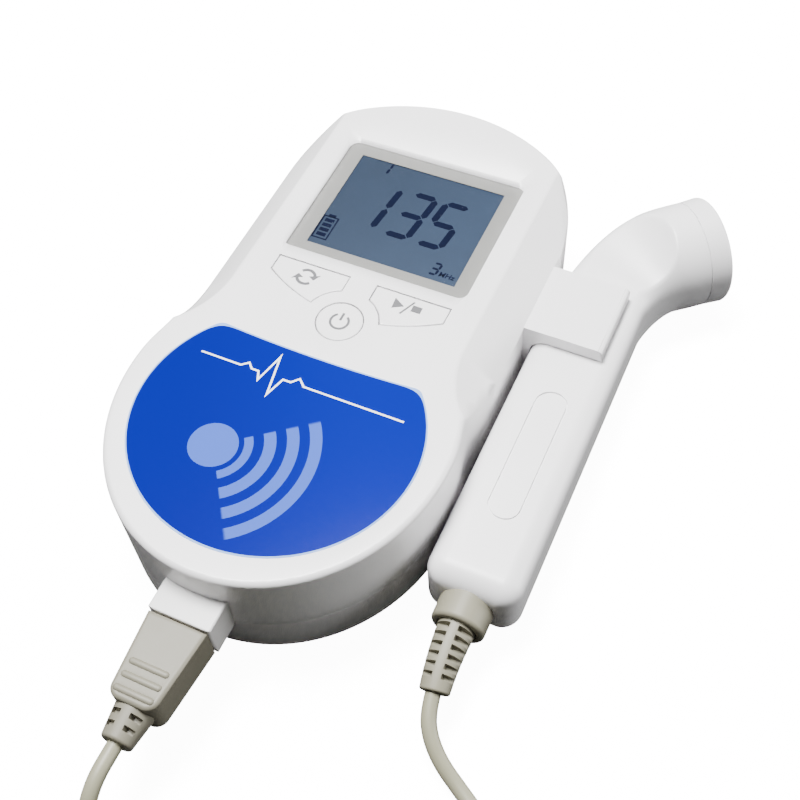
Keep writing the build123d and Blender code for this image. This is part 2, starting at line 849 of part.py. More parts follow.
def make_volume_pot():
    """The potentiometer carries the wheel on its shaft and hangs from the board's edge."""
    high = wheel_low - fit_gap
    low = high - pot_height
    half = pot_size / 2
    y0, y1 = dome_centre - half, dome_centre + half
    post_x = wheel_x + wheel_radius + fit_gap + 2 * seat_gap
    body = block(wheel_x - half, wheel_x + half, y0, y1, low, high)
    body += block(wheel_x, post_x + pot_post, y0, y1, low, low + pot_arm)
    body += block(post_x, post_x + pot_post, y0, y1, low, board_bottom)
    shaft_top = wheel_low + wheel_thickness - 1 - fit_gap
    return body + drum(wheel_shaft_radius, high - pot_arm, shaft_top, wheel_x, dome_centre)


def make_headphone_jack():
    """The jack hangs under the board and its nose fills the hole in the case's side."""
    face = -neck_half_width + side_wall + seat_gap
    half = jack_size / 2
    body = block(
        face, face + jack_length - side_wall, jack_place - half, jack_place + half,
        jack_level - half, board_bottom,
    )
    body += rod_along_x(jack_nose_radius, -neck_half_width, face + 1, jack_place, jack_level)
    return body - rod_along_x(
        jack_bore_radius, -neck_half_width - 1, -neck_half_width + jack_length - side_wall,
        jack_place, jack_level,
    )


# ---- lead socket, plug and strain relief ----
def contact_row(y0, y1, size):
    row = []
    for k in range(contact_count):
        x = (k - (contact_count - 1) / 2) * contact_pitch
        half = size / 2
        row.append(block(x - half, x + half, y0, y1, socket_level - half, socket_level + half))
    return row


def tongue_block(gap, y0, y1):
    half = tongue_width / 2 + gap
    rise = tongue_height / 2 + gap
    return block(-half, half, y0, y1, socket_level - rise, socket_level + rise)


def make_socket():
    """The socket's housing: set into the case's lower end, with a cavity for the plug's tongue."""
    body = socket_block(0, socket_face, socket_root)
    body = fillet(body.edges().filter_by(Axis.Y), socket_edge_radius)
    flange_high = socket_root - socket_flange_thickness
    body += socket_block(socket_flange, flange_high, socket_root)
    body -= tongue_block(fit_gap, socket_face - 1, plug_front + tongue_length + 2 * fit_gap)
    for hole in contact_row(plug_front, socket_root + 1, contact_size + 2 * seat_gap):
        body -= hole
    return body


def make_socket_pins():
    """Pins from the bottom of the cavity back to the ribbon."""
    return group(contact_row(plug_front + tongue_length + fit_gap, socket_root + 1, contact_size))


def make_ribbon():
    """The flat cable from the socket's pins up to the board's lower side."""
    half = contact_count * contact_pitch / 2
    low_y = socket_root + 1
    high = board_bottom - seat_gap
    upright = block(-half, half, low_y, low_y + ribbon_thickness, socket_level - contact_size, high)
    return upright + block(-half, half, low_y, board_low + 1.5, high - ribbon_thickness, high)


def make_plug_shell():
    """The plug's housing: it narrows towards the cord and has grip ridges above and below."""
    half = plug_width / 2
    rear = half - plug_taper
    low, high = socket_level - plug_height / 2, socket_level + plug_height / 2
    points = [
        (half, plug_front), (rear, plug_back), (-rear, plug_back), (-half, plug_front),
    ]
    outline = make_face(Polyline(*points, close=True))
    body = plate(outline, low, high)
    body = fillet(body.edges().filter_by(Axis.Z).sort_by(Axis.Y)[:2], plug_corner)
    ends = body.faces().sort_by(Axis.Z)
    body = fillet(ends[0].edges() + ends[-1].edges(), plug_edge_radius)
    for level in (low, high):
        for k in range(ridge_count):
            y = plug_back + ridge_start + k * ridge_pitch
            body -= block(
                -ridge_length / 2, ridge_length / 2, y - ridge_width / 2, y + ridge_width / 2,
                level - ridge_depth, level + ridge_depth,
            )
    tip = plug_front + tongue_length
    body += tongue_block(0, plug_front - 1, tip)
    for contact in contact_row(tip - contact_length - seat_gap, tip + 1, contact_size + 2 * seat_gap):
        body -= contact
    # the cord's bore, long enough for the plug to slide back over the cord
    bore_end = cord_start + plug_travel + fit_gap
    return body - rod_along_y(cord_radius + fit_gap, plug_back - 1, bore_end, 0, socket_level)


def make_plug_contacts():
    tip = plug_front + tongue_length
    return group(contact_row(tip - contact_length, tip, contact_size))


def make_plug_relief():
    """A short tapered sleeve with two rows of flex slots."""
    bore = cord_radius + fit_gap
    points = [
        (bore, 0), (relief_root_radius, 0), (relief_tip_radius, -relief_length), (bore, -relief_length),
    ]
    sleeve = revolve(make_face(Polyline(*points, close=True)), axis=Axis.Y)
    rim = sleeve.edges().filter_by(GeomType.CIRCLE).sort_by(Axis.Y)[:2].sort_by(SortBy.LENGTH)[-1]
    sleeve = fillet(rim, (relief_tip_radius - bore) / 2)
    for row in range(relief_slot_rows):
        y = -relief_length / 2 + (row - 0.5) * relief_slot_pitch
        ring = rod_along_y(relief_root_radius + 1, y - boot_slot_width / 2, y + boot_slot_width / 2, 0, 0)
        ring -= rod_along_y(relief_tip_radius - boot_slot_depth / 2, y - 2, y + 2, 0, 0)
        ring -= block(-boot_spine, boot_spine, y - 2, y + 2, -20, 20)
        sleeve -= ring
    return Pos(0, plug_back, socket_level) * sleeve


# ---- probe ----
def bend_place(turn):
    """A point of the probe's centre line and its heading, after a number of degrees of the bend."""
    heading = 90 - turn
    angle = math.radians(heading)
    x = handle_centre + bend_radius * (1 - math.sin(angle))
    y = bend_start + bend_radius * math.cos(angle)
    return x, y, heading


def head_place(along):
    """A point on the head's axis, a distance past the end of the bend."""
    x, y, heading = bend_place(bend_angle)
    angle = math.radians(heading)
    return x + along * math.cos(angle), y + along * math.sin(angle), heading


def across(place, level):
    """A plane across the probe: its X runs sideways, its Y runs up."""
    x, y, heading = place
    angle = math.radians(heading)
    return Plane(
        origin=(x, y, level), x_dir=(math.sin(angle), -math.cos(angle), 0),
        z_dir=(math.cos(angle), math.sin(angle), 0),
    )


def probe_section(place, width, low, high, corner):
    return across(place, (low + high) / 2) * RectangleRounded(width, high - low, corner)


def probe_form(inset=0.0, foot_wall=0.0):
    """The probe without its ring: a straight handle, a bend, and a round neck behind the ring."""
    width = handle_width - 2 * inset
    low, high = handle_back + inset, handle_front - inset
    corner = handle_corner - inset
    foot = handle_foot + foot_wall
    start = (handle_centre, foot, 90)
    handle = extrude(probe_section(start, width, low, high, corner), amount=bend_start - foot)
    handle = fillet(handle.faces().sort_by(Axis.Y)[0].edges(), handle_foot_radius - inset)
    sections = [probe_section(bend_place(0), width, low, high, corner)]
    for share, wider, deeper, round_corner in bend_sections:
        place = bend_place(bend_angle * share)
        sections.append(probe_section(place, width + wider, low - deeper, high, round_corner - inset))
    radius = head_neck_radius - inset
    neck = head_place(head_seam - head_neck_length)
    neck_level = (head_level - radius, head_level + radius)
    round_section = probe_section(neck, 2 * radius, *neck_level, radius * 0.995)
    cylinder = across(neck, head_level) * Cylinder(
        radius, head_neck_length, align=(Align.CENTER, Align.CENTER, Align.MIN)
    )
    return handle + loft(sections) + loft([sections[-1], round_section]) + cylinder


def at_head(shape, along=0.0):
    """Places a shape made along +Z on the head's axis, counted from the ring's seam."""
    return across(head_place(head_seam + along), head_level) * shape


def disc(radius, low, high):
    return Pos(0, 0, (low + high) / 2) * Cylinder(radius, high - low)


def boot_seat():
    """The hole and the counterbore in the handle's foot for the boot."""
    seat = rod_along_y(
        boot_collar_radius + seat_gap, handle_foot - 1, handle_foot + boot_collar_seat,
        handle_centre, handle_level,
    )
    return seat + rod_along_y(
        boot_neck_radius + seat_gap, handle_foot - 1, handle_foot + handle_foot_wall + 1,
        handle_centre, handle_level,
    )


def probe_half(low, high):
    """One half of the hollow probe shell, split along its side."""
    shell = probe_form() - probe_form(probe_wall, handle_foot_wall)
    shell -= at_head(disc(head_neck_radius - probe_wall, -head_neck_length, 1))
    shell -= boot_seat()
    far = handle_centre + 3 * head_radius + bend_radius
    return shell & block(0, far, handle_foot - 1, half_length + head_radius, low, high)


def make_probe_front():
    shell = probe_half(handle_level, case_height)
    groove = SlotOverall(panel_length, panel_width, rotation=90)
    groove -= SlotOverall(panel_length - 2 * panel_groove, panel_width - 2 * panel_groove, rotation=90)
    place = Pos(handle_centre, (panel_low + panel_high) / 2)
    shell -= plate(place * groove, handle_front - panel_groove_depth, handle_front + 1)
    pilot_top = handle_back + probe_screw_sink - probe_screw_head_height + probe_screw_length + fit_gap
    for y in probe_screw_places:
        shell += drum(probe_boss_radius, handle_level, handle_front - probe_wall / 2, handle_centre, y)
        shell -= drum(probe_screw_radius, handle_level - 1, pilot_top, handle_centre, y)
    return shell


def make_probe_rear():
    shell = probe_half(-1, handle_level)
    for y in probe_screw_places:
        shell += drum(probe_boss_radius, handle_back + probe_wall / 2, handle_level, handle_centre, y)
        shell -= drum(probe_screw_radius + seat_gap, 0, handle_level + 1, handle_centre, y)
        sink = handle_back + probe_screw_sink
        shell -= drum(probe_screw_head_radius + seat_gap, 0, sink, handle_centre, y)
    return shell


def make_probe_screws():
    low = handle_back + probe_screw_sink - probe_screw_head_height
    return group(
        screw(
            handle_centre, y, probe_screw_radius, probe_screw_head_radius, probe_screw_head_height,
            low, probe_screw_length,
        )
        for y in probe_screw_places
    )


def make_head_ring():
    """The ring round the transducer, slightly flared, with a lip behind the lens."""
    lens_low = head_ring_length - lens_sink - lens_thickness
    bore = head_radius - head_ring_wall
    lip = bore - head_ring_lip
    points = [
        (lip, 0), (head_neck_radius, 0), (head_radius, head_ring_length),
        (bore, head_ring_length), (bore, lens_low), (lip, lens_low),
    ]
    ring = revolve(make_face(Plane.XZ * Polyline(*points, close=True)), axis=Axis.Z)
    rims = ring.edges().filter_by(GeomType.CIRCLE).sort_by(Axis.Z)[-2:]
    return at_head(fillet(rims.sort_by(SortBy.LENGTH)[-1], head_ring_edge))


def make_transducer_lens():
    """The acoustic face: a disc with a slightly domed front."""
    radius = head_radius - head_ring_wall - seat_gap
    high = head_ring_length - lens_sink
    low = high - lens_thickness
    rim = high - lens_dome
    sphere_radius = (radius**2 + lens_dome**2) / (2 * lens_dome)
    ball = Pos(0, 0, high - sphere_radius) * Sphere(sphere_radius)
    return at_head(disc(radius, low, rim) + (ball & disc(radius, rim, high + 1)))


def make_crystals():
    """Two half-disc crystals, one to send and one to receive."""
    high = head_ring_length - lens_sink - lens_thickness
    slit = Box(crystal_slit, 3 * crystal_radius, 3 * head_radius)
    return at_head(disc(crystal_radius, high - crystal_thickness, high) - slit)


def make_damper():
    high = head_ring_length - lens_sink - lens_thickness - crystal_thickness
    return at_head(disc(damper_radius, high - damper_length, high))


def make_probe_board():
    half_x, half_z = probe_board_width / 2, probe_board_thickness / 2
    return block(
        handle_centre - half_x, handle_centre + half_x, probe_board_low, probe_board_high,
        handle_level - half_z, handle_level + half_z,
    )


def make_probe_wires():
    """Two coax wires from the probe's board to the damping block."""
    damper_back = head_ring_length - lens_sink - lens_thickness - crystal_thickness - damper_length
    end_x, end_y, heading = head_place(head_seam + damper_back - wire_radius)
    angle = math.radians(heading)
    wires = []
    for side in (-1, 1):
        offset = side * wire_spread
        path = FilletPolyline(
            (handle_centre + offset, probe_board_high, handle_level),
            (handle_centre + offset, bend_start + bend_rise / 2, handle_level),
            (end_x + offset * math.sin(angle), end_y - offset * math.cos(angle), head_level),
            radius=wire_bend,
        )
        wires.append(sweep(Plane(path @ 0, z_dir=path % 0) * Circle(wire_radius), path=path))
    return group(wires)


def boot_stations():
    """Points, headings and radii along the boot's gently flexed tail."""
    steps = 6
    step = boot_length / steps
    x, y, z = handle_centre, handle_foot + boot_collar_seat - boot_collar_length, handle_level
    stations = []
    for k in range(steps + 1):
        share = k / steps
        droop = math.radians(boot_end_droop * share)
        turn = math.radians(boot_end_turn * share)
        heading = (math.sin(turn) * math.cos(droop), -math.cos(turn) * math.cos(droop), -math.sin(droop))
        radius = boot_neck_radius + (boot_tip_radius - boot_neck_radius) * share
        stations.append(((x, y, z), heading, radius))
        x, y, z = x + heading[0] * step, y + heading[1] * step, z + heading[2] * step
    return stations


def make_boot():
    """The probe's strain relief: a collar set into the foot and a tapered, slotted tail."""
    collar_high = handle_foot + boot_collar_seat
    collar_low = collar_high - boot_collar_length
    collar = rod_along_y(boot_collar_radius, collar_low, collar_high, handle_centre, handle_level)
    collar = fillet(collar.edges().filter_by(GeomType.CIRCLE).sort_by(Axis.Y)[0], boot_collar_edge)
    flange_low = handle_foot + handle_foot_wall + seat_gap
    flange_high = flange_low + boot_flange_thickness
    body = collar + rod_along_y(boot_neck_radius, collar_high - 1, flange_high, handle_centre, handle_level)
    body += rod_along_y(boot_flange_radius, flange_low, flange_high, handle_centre, handle_level)
    stations = boot_stations()
    body += loft([Plane(origin=p, x_dir=(1, 0, 0), z_dir=h) * Circle(r) for p, h, r in stations])
    for row in range(boot_slot_rows):
        # a slot lies between neighbouring stations, on both sides of the spine
        (a, heading, radius), (b, _, _) = stations[row], stations[row + 1]
        middle = tuple((p + q) / 2 for p, q in zip(a, b))
        tall = 4 * boot_slot_width
        ring = Cylinder(radius + 1, boot_slot_width) - Cylinder(radius - boot_slot_depth, tall)
        spine = Box(2 * boot_spine, 4 * boot_collar_radius, tall)
        body -= Plane(origin=middle, x_dir=(1, 0, 0), z_dir=heading) * (ring - spine)
    return body


# ---- cord ----
def coil_entry(turn, run, way):
    """A point on the coil's outer turn and one a run before it, on the tangent."""
    angle = math.radians(turn)
    radius = coil_mid_radius + cord_radius * (coil_turns_across - 1)
    x = coil_centre[0] + radius * math.cos(angle)
    y = coil_centre[1] + radius * math.sin(angle)
    before = (x + way * run * math.sin(angle), y - way * run * math.cos(angle), cord_radius)
    return before, (x, y, cord_radius)


def probe_leg():
    """The cord's corner points from the boot's tip over the table to the coil."""
    (x, y, z), (dx, dy, dz), _ = boot_stations()[-1]
    before, end = coil_entry(probe_leg_angle, 23.0, -1)
    return [
        (x + dx * seat_gap, y + dy * seat_gap, z + dz * seat_gap),
        (x + dx * 4.2, y + dy * 4.2, z + dz * 4.2),
        (x + 2.7, y - 7.7, z - 2.6),
        (x + 6.2, y - 10.7, z - 4.6),
        (x + 10.9, y - 13.1, cord_radius + 0.7),
        (x + 18.0, y - 17.2, cord_radius),
        (x + 25.5, y - 27.1, cord_radius),
        (x + 27.2, y - 39.6, cord_radius),
        before,
        end,
    ]


def plug_leg():
    """The cord's corner points from inside the plug down to the table and round to the coil."""
    bend = relief_tip - plug_travel - 3.3
    before, end = coil_entry(plug_leg_angle, 16.0, 1)
    return [
        (0, cord_start, socket_level),
        (0, bend, socket_level),
        (1.0, bend - 7.4, socket_level - 6.2),
        (3.0, bend - 16.4, cord_radius + 2.0),
        (8.5, bend - 26.4, cord_radius),
        before,
        end,
    ]


def tube_along(points, name):
    """A round cord along straight runs joined by the largest arcs that the runs allow."""
    corners = [Vector(*point) for point in points]
    radii = []
    for before, here, after in zip(corners, corners[1:], corners[2:]):
        turn = math.radians((here - before).get_angle(after - here))
        run = min((here - before).length, (after - here).length)
        radii.append(0.45 * run / math.tan(turn / 2))
    path = FilletPolyline(*points, radius=radii)
    tube = sweep(Plane(path @ 0, z_dir=path % 0) * Circle(cord_radius), path=path)
    share = tube.volume / (math.pi * cord_radius**2 * path.length)
    print(name, "radii", [round(r, 1) for r in radii])
    print(name, "length", round(path.length, 1), "volume share", round(share, 4))
    return tube


def make_coil():
    """The outer shape of the wound cord: a flat ring with rounded corners."""
    outline = Pos(coil_mid_radius, coil_height / 2) * RectangleRounded(coil_width, coil_height, cord_radius)
    return Pos(*coil_centre, 0) * revolve(Plane.XZ * outline, axis=Axis.Z)


def make_tie():
    """A strap over one side of the coil, down to the table."""
    gap = seat_gap
    inner = Pos(coil_mid_radius, coil_height / 2) * RectangleRounded(
        coil_width + 2 * gap, coil_height + 2 * gap, cord_radius
    )
    wall = gap + tie_thickness
    outer = Pos(coil_mid_radius, coil_height / 2) * RectangleRounded(
        coil_width + 2 * wall, coil_height + 2 * wall, cord_radius + tie_thickness
    )
    band = (outer - inner) & Pos(coil_mid_radius, coil_height) * Rectangle(3 * coil_width, 2 * coil_height)
    turn = math.degrees(tie_width / coil_mid_radius)
    strap = revolve(Plane.XZ * band, axis=Axis.Z, revolution_arc=turn)
    return Pos(*coil_centre, 0) * Rot(0, 0, tie_angle) * strap


def main():
    os.makedirs("parts", exist_ok=True)
    save(make_front_cover(), "front_cover")
    save(make_rear_cover(), "rear_cover")
    save(make_holder(), "probe_holder")
    save(make_battery_door(), "battery_door")
    save(plate(label_outline(), case_height - label_thickness, case_height), "face_label")
    save(plate(window_outline(), window_top - window_thickness, window_top), "display_window")
    save(make_lcd_glass(), "display_glass")
    save(make_backlight(), "display_backlight")
    mode, power, start = make_keys()
    save(mode, "mode_key")
    save(power, "power_key")
    save(start, "start_stop_key")
    save(make_switches(), "key_switches")
    save(make_board(), "main_board")
    save(make_chips(), "board_components")
    save(make_case_screws(), "case_screws")
    save(make_board_screws(), "board_screws")
    save(make_cells(), "battery_cells")
    save(make_cell_springs(), "battery_springs")
    save(make_cell_plates(), "battery_contact_plates")
    save(make_speaker(), "loudspeaker")
    save(make_volume_wheel(), "volume_wheel")
    save(make_volume_pot(), "volume_potentiometer")
    save(make_headphone_jack(), "headphone_jack")
    save(make_socket(), "lead_socket")
    save(make_socket_pins(), "lead_socket_pins")
    save(make_ribbon(), "socket_ribbon")
    save(make_plug_shell(), "plug_housing")
    save(make_plug_contacts(), "plug_contacts")
    save(make_plug_relief(), "plug_strain_relief")
    save(make_probe_front(), "probe_front_shell")
    save(make_probe_rear(), "probe_rear_shell")
    save(make_probe_screws(), "probe_screws")
    save(make_head_ring(), "probe_head_ring")
    save(make_transducer_lens(), "transducer_lens")
    save(make_crystals(), "transducer_crystals")
    save(make_damper(), "transducer_damper")
    save(make_probe_board(), "probe_board")
    save(make_probe_wires(), "probe_wires")
    save(make_boot(), "probe_boot")
    save(tube_along(probe_leg(), "probe side"), "lead_cord_probe_side")
    save(tube_along(plug_leg(), "plug side"), "lead_cord_plug_side")
    save(make_coil(), "lead_coil")
    save(make_tie(), "lead_tie")


main()
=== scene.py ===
import math

import bmesh
import bpy
from mathutils import Matrix, Vector


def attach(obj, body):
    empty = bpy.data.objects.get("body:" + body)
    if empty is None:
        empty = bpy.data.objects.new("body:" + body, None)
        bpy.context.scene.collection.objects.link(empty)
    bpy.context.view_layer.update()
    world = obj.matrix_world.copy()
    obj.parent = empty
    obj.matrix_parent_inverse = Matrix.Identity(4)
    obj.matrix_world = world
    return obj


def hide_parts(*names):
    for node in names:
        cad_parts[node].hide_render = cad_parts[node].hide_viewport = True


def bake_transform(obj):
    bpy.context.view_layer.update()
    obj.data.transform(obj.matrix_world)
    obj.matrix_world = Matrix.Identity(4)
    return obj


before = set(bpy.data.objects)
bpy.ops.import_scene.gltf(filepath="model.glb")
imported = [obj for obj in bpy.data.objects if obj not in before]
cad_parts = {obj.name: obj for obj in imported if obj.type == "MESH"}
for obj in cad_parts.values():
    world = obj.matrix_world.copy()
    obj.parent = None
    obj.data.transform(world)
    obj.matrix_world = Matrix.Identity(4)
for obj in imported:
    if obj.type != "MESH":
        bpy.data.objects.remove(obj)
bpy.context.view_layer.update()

# sizes are in millimetres, unless a note says otherwise
mm = 0.001


class Value:
    # a shader socket that can stand in an expression
    def __init__(self, shade, socket):
        self.shade = shade
        self.socket = socket

    def maths(self, operation, other=None, turned=False):
        pair = (other, self) if turned else (self, other)
        return self.shade.node("ShaderNodeMath", {"operation": operation}, pair)

    def __add__(self, other):
        return self.maths("ADD", other)

    def __radd__(self, other):
        return self.maths("ADD", other, True)

    def __sub__(self, other):
        return self.maths("SUBTRACT", other)

    def __rsub__(self, other):
        return self.maths("SUBTRACT", other, True)

    def __mul__(self, other):
        return self.maths("MULTIPLY", other)

    def __rmul__(self, other):
        return self.maths("MULTIPLY", other, True)

    def __truediv__(self, other):
        return self.maths("DIVIDE", other)

    def __rtruediv__(self, other):
        return self.maths("DIVIDE", other, True)

    def __abs__(self):
        return self.maths("ABSOLUTE")


class Shade:
    # one material, built node by node
    def __init__(self, name, fixed):
        self.material = bpy.data.materials.new(name)
        self.material.use_nodes = True
        self.tree = self.material.node_tree
        self.surface = self.tree.nodes["Principled BSDF"]
        for socket, value in fixed.items():
            self.surface.inputs[socket].default_value = value

    def node(self, kind, settings=None, values=(), out=0):
        made = self.tree.nodes.new(kind)
        for key, value in (settings or {}).items():
            setattr(made, key, value)
        pairs = values.items() if isinstance(values, dict) else enumerate(values)
        for key, value in pairs:
            self.feed(made.inputs[key], value)
        return Value(self, made.outputs[out])

    def feed(self, socket, value):
        if isinstance(value, Value):
            self.tree.links.new(value.socket, socket)
        elif value is not None:
            socket.default_value = value

    def place(self, centre=(0, 0, 0)):
        # object coordinates in millimetres, counted from a centre
        spot = self.node("ShaderNodeTexCoord", out="Object")
        shift = tuple(-c for c in centre)
        return self.node("ShaderNodeMapping", {"vector_type": "POINT"},
                         {"Vector": spot, "Scale": (1000, 1000, 1000), "Location": shift})

    def axes(self, spot):
        split = self.node("ShaderNodeSeparateXYZ", None, [spot])
        return [Value(self, output) for output in split.socket.node.outputs]

    def noise(self, spot, scale, detail=2.0):
        return self.node("ShaderNodeTexNoise", None,
                         {"Vector": spot, "Scale": scale, "Detail": detail, "Roughness": 0.55})

    def fade(self, value, low, high, first=0.0, last=1.0):
        return self.node("ShaderNodeMapRange", {"interpolation_type": "SMOOTHSTEP"},
                         {"Value": value, "From Min": low, "From Max": high,
                          "To Min": first, "To Max": last})

    def past(self, value, limit, soft):
        # 0 below a limit and 1 above it, over a soft edge
        return self.fade(value, limit - soft, limit + soft)

    def mix(self, factor, first, second):
        return self.node("ShaderNodeMix", {"data_type": "RGBA"},
                         {0: factor, 6: first, 7: second}, out=2)

    def bump(self, height, strength, depth):
        return self.node("ShaderNodeBump", None,
                         {"Strength": strength, "Distance": depth * mm, "Height": height})

    def paint(self, **inputs):
        names = {"colour": "Base Color", "roughness": "Roughness", "normal": "Normal",
                 "alpha": "Alpha", "glow": "Emission Color"}
        for key, value in inputs.items():
            self.feed(self.surface.inputs[names[key]], value)
        return self.material


def tone(red, green, blue):
    # a screen colour, 0 to 255, as the shader's linear colour
    def linear(c):
        c = c / 255
        return c / 12.92 if c <= 0.04045 else ((c + 0.055) / 1.055) ** 2.4
    return (linear(red), linear(green), linear(blue), 1.0)


def darker(colour, share):
    return tuple(c * share for c in colour[:3]) + (1.0,)


def moulded(name, colour, gloss, fixed=None, grain=2.2, depth=0.02, spread=0.04):
    # moulded plastic or rubber: slow colour drift, fine skin, slight change of gloss
    shade = Shade(name, {"Roughness": gloss, **(fixed or {})})
    spot = shade.place()
    drift = shade.fade(shade.noise(spot, 0.04), 0.3, 0.7)
    skin = shade.noise(spot, grain, 3.0)
    wide = shade.noise(spot, 0.5)
    return shade.paint(
        colour=shade.mix(drift, darker(colour, 1 - spread), colour),
        roughness=gloss - 0.03 + skin * 0.06 + wide * 0.04,
        normal=shade.bump(skin, 0.35, depth))


def brushed(name, colour, gloss):
    # plated or turned metal with fine scratches
    shade = Shade(name, {"Metallic": 1.0, "Roughness": gloss})
    spot = shade.place()
    scratch = shade.noise(spot, 6.0, 4.0)
    stain = shade.fade(shade.noise(spot, 0.6), 0.35, 0.75)
    return shade.paint(
        colour=shade.mix(stain, darker(colour, 0.85), colour),
        roughness=gloss - 0.05 + scratch * 0.15,
        normal=shade.bump(scratch, 0.2, 0.01))


print("materials")
finishes = {
    "case": moulded("caseShell", tone(238, 237, 238), 0.33, {"Coat Weight": 0.12, "Coat Roughness": 0.2}),
    "back": moulded("caseBack", tone(236, 235, 236), 0.38, {"Coat Weight": 0.08, "Coat Roughness": 0.25}),
    "key": moulded("keyCap", tone(238, 237, 238), 0.3, {"Coat Weight": 0.15, "Coat Roughness": 0.15}),
    "probe": moulded("probeShell", tone(236, 235, 236), 0.36, {"Coat Weight": 0.04, "Coat Roughness": 0.3}),
    "socket": moulded("socketShell", tone(222, 221, 220), 0.36),
    "rubber": moulded("leadRubber", tone(127, 124, 107), 0.5, grain=1.6, depth=0.03, spread=0.06),
    "plugRubber": moulded("plugRubber", tone(117, 114, 100), 0.5, grain=1.6, depth=0.03, spread=0.06),
    "jacket": moulded("leadJacket", tone(141, 139, 117), 0.45, grain=1.2, depth=0.03, spread=0.06),
    "dark": moulded("darkPlastic", tone(52, 52, 56), 0.45),
    "tie": moulded("tieNylon", tone(44, 44, 48), 0.5, grain=1.0, depth=0.05, spread=0.15),
    "lens": moulded("acousticFace", tone(214, 214, 210), 0.35, grain=1.4, depth=0.02, spread=0.05),
    "pale": moulded("palePlastic", tone(222, 222, 218), 0.5),
    "mask": moulded("displayMask", tone(116, 116, 113), 0.5, grain=3.0, depth=0.01, spread=0.03),
    "ink": moulded("iconInk", tone(84, 84, 87), 0.5, grain=3.0, depth=0.005, spread=0.06),
    "steel": brushed("screwSteel", tone(196, 196, 200), 0.32),
    "gold": brushed("contactGold", tone(222, 184, 110), 0.28),
    "crystal": brushed("crystalSilver", tone(205, 205, 198), 0.45),
}


def labelPrint(size):
    # deep blue print with a pale rim, sound waves round a soft disc and a slow change of blue
    shade = Shade("labelPrint", {"Roughness": 0.16, "Specular IOR Level": 0.06})
    spot = shade.place((0, size["centre"], 0))
    x, y, _ = shade.axes(spot)
    ring = (x / size["halfWidth"]).maths("POWER", 2) + (y / size["halfLength"]).maths("POWER", 2)
    fromRound = (1 - ring.maths("SQRT")) * size["halfLength"]
    fromTop = size["top"] - y + x * x / (2 * size["topRadius"])
    inside = fromRound.maths("SMOOTH_MIN", fromTop)
    inside.socket.node.inputs[2].default_value = size["corner"]
    rim = 1 - shade.past(inside, size["rim"], 0.05)
    sweep = shade.fade(x + y * 0.5, -size["sweep"], size["sweep"])
    blue = shade.mix(sweep, size["deepBlue"], size["lightBlue"])
    dx, dy = x - size["wave"][0], y - size["wave"][1]
    reach = (dx * dx + dy * dy).maths("SQRT")
    disc = 1 - shade.past(reach, size["disc"], 0.06)
    turn = reach / size["pitch"]
    crest = abs(turn.maths("FRACT") - 0.5) * 2
    rings = shade.fade(crest, 1 - size["gapShare"] - 0.03, 1 - size["gapShare"] + 0.03, 1.0, 0.0)
    rings = rings * shade.past(reach, size["disc"] + size["firstGap"], 0.1)
    rings = rings * (1 - shade.past(reach, size["last"], 0.1))
    spread = dy.maths("ARCTAN2", dx)
    away = abs(spread - size["heading"])
    rings = rings * (1 - shade.past(away, size["opening"], 0.02))
    motif = disc.maths("MAXIMUM", rings)
    weave = shade.noise(spot, 1.4)
    colour = shade.mix(motif * 0.95, blue, size["motif"])
    colour = shade.mix(rim, colour, size["rimBlue"])
    return shade.paint(colour=colour, roughness=0.14 + weave * 0.04,
                       normal=shade.bump(weave, 0.15, 0.01))


def liquidCrystal(size):
    # backlit blue-grey glass, with painted shade round its rim next to the mask
    shade = Shade("displayCrystal", {"Roughness": 0.3, "Emission Strength": 0.05,
                                     "Specular IOR Level": 0.2})
    x, y, _ = shade.axes(shade.place((0, size["centre"], 0)))
    sweep = shade.fade(x * 0.6 - y * 0.3, -size["sweep"], size["sweep"])
    cloud = shade.fade(shade.noise(shade.place(), 0.09), 0.3, 0.7)
    face = shade.mix(sweep, size["left"], size["right"])
    face = shade.mix(cloud * 0.5, face, size["cloud"])
    # painted shade: the glass gets darker towards its edges, next to the mask's opening
    edge = (abs(x) / size["halfWidth"]).maths("MAXIMUM", abs(y) / size["halfHeight"])
    face = shade.mix(shade.fade(edge, 0.9, 1.02) * 0.3, face, size["rim"])
    return shade.paint(colour=face, glow=face)


def displayInk():
    shade = Shade("displayInk", {"Roughness": 0.5, "Specular IOR Level": 0.03})
    cloud = shade.noise(shade.place(), 0.3)
    ink = shade.mix(cloud, tone(2, 7, 28), tone(4, 11, 37))
    return shade.paint(colour=ink)


def clearWindow():
    # thin clear plastic: nearly invisible but for its gloss
    shade = Shade("clearWindow", {"Base Color": tone(60, 64, 70), "Roughness": 0.06,
                                  "Specular IOR Level": 0.06})
    haze = shade.noise(shade.place(), 0.12)
    return shade.paint(alpha=0.015 + haze * 0.02)


def circuitBoard(size):
    shade = Shade("circuitBoard", {"Roughness": 0.42})
    spot = shade.place()
    x, _, _ = shade.axes(spot)
    wobble = shade.noise(spot, 0.12) * size["wander"]
    tracks = abs(((x + wobble) / size["pitch"]).maths("FRACT") - 0.5) * 2
    copper = shade.fade(tracks, 0.72, 0.8)
    colour = shade.mix(copper, size["mask"], size["copper"])
    return shade.paint(colour=colour, normal=shade.bump(copper, 0.4, 0.04))


def cellJacket(size):
    # a plain two-colour jacket, for two cells that lie head to tail
    shade = Shade("cellJacket", {"Roughness": 0.3, "Metallic": 0.6})
    x, y, _ = shade.axes(shade.place(size["centre"]))
    way = shade.fade(y, -0.01, 0.01, -1.0, 1.0)
    end = shade.past(x * way, size["band"], 0.2)
    scuff = shade.noise(shade.place(), 0.8, 3.0)
    colour = shade.mix(end, size["jacket"], size["end"])
    return shade.paint(colour=shade.mix(scuff * 0.15, colour, size["scuff"]),
                       roughness=0.24 + scuff * 0.12)


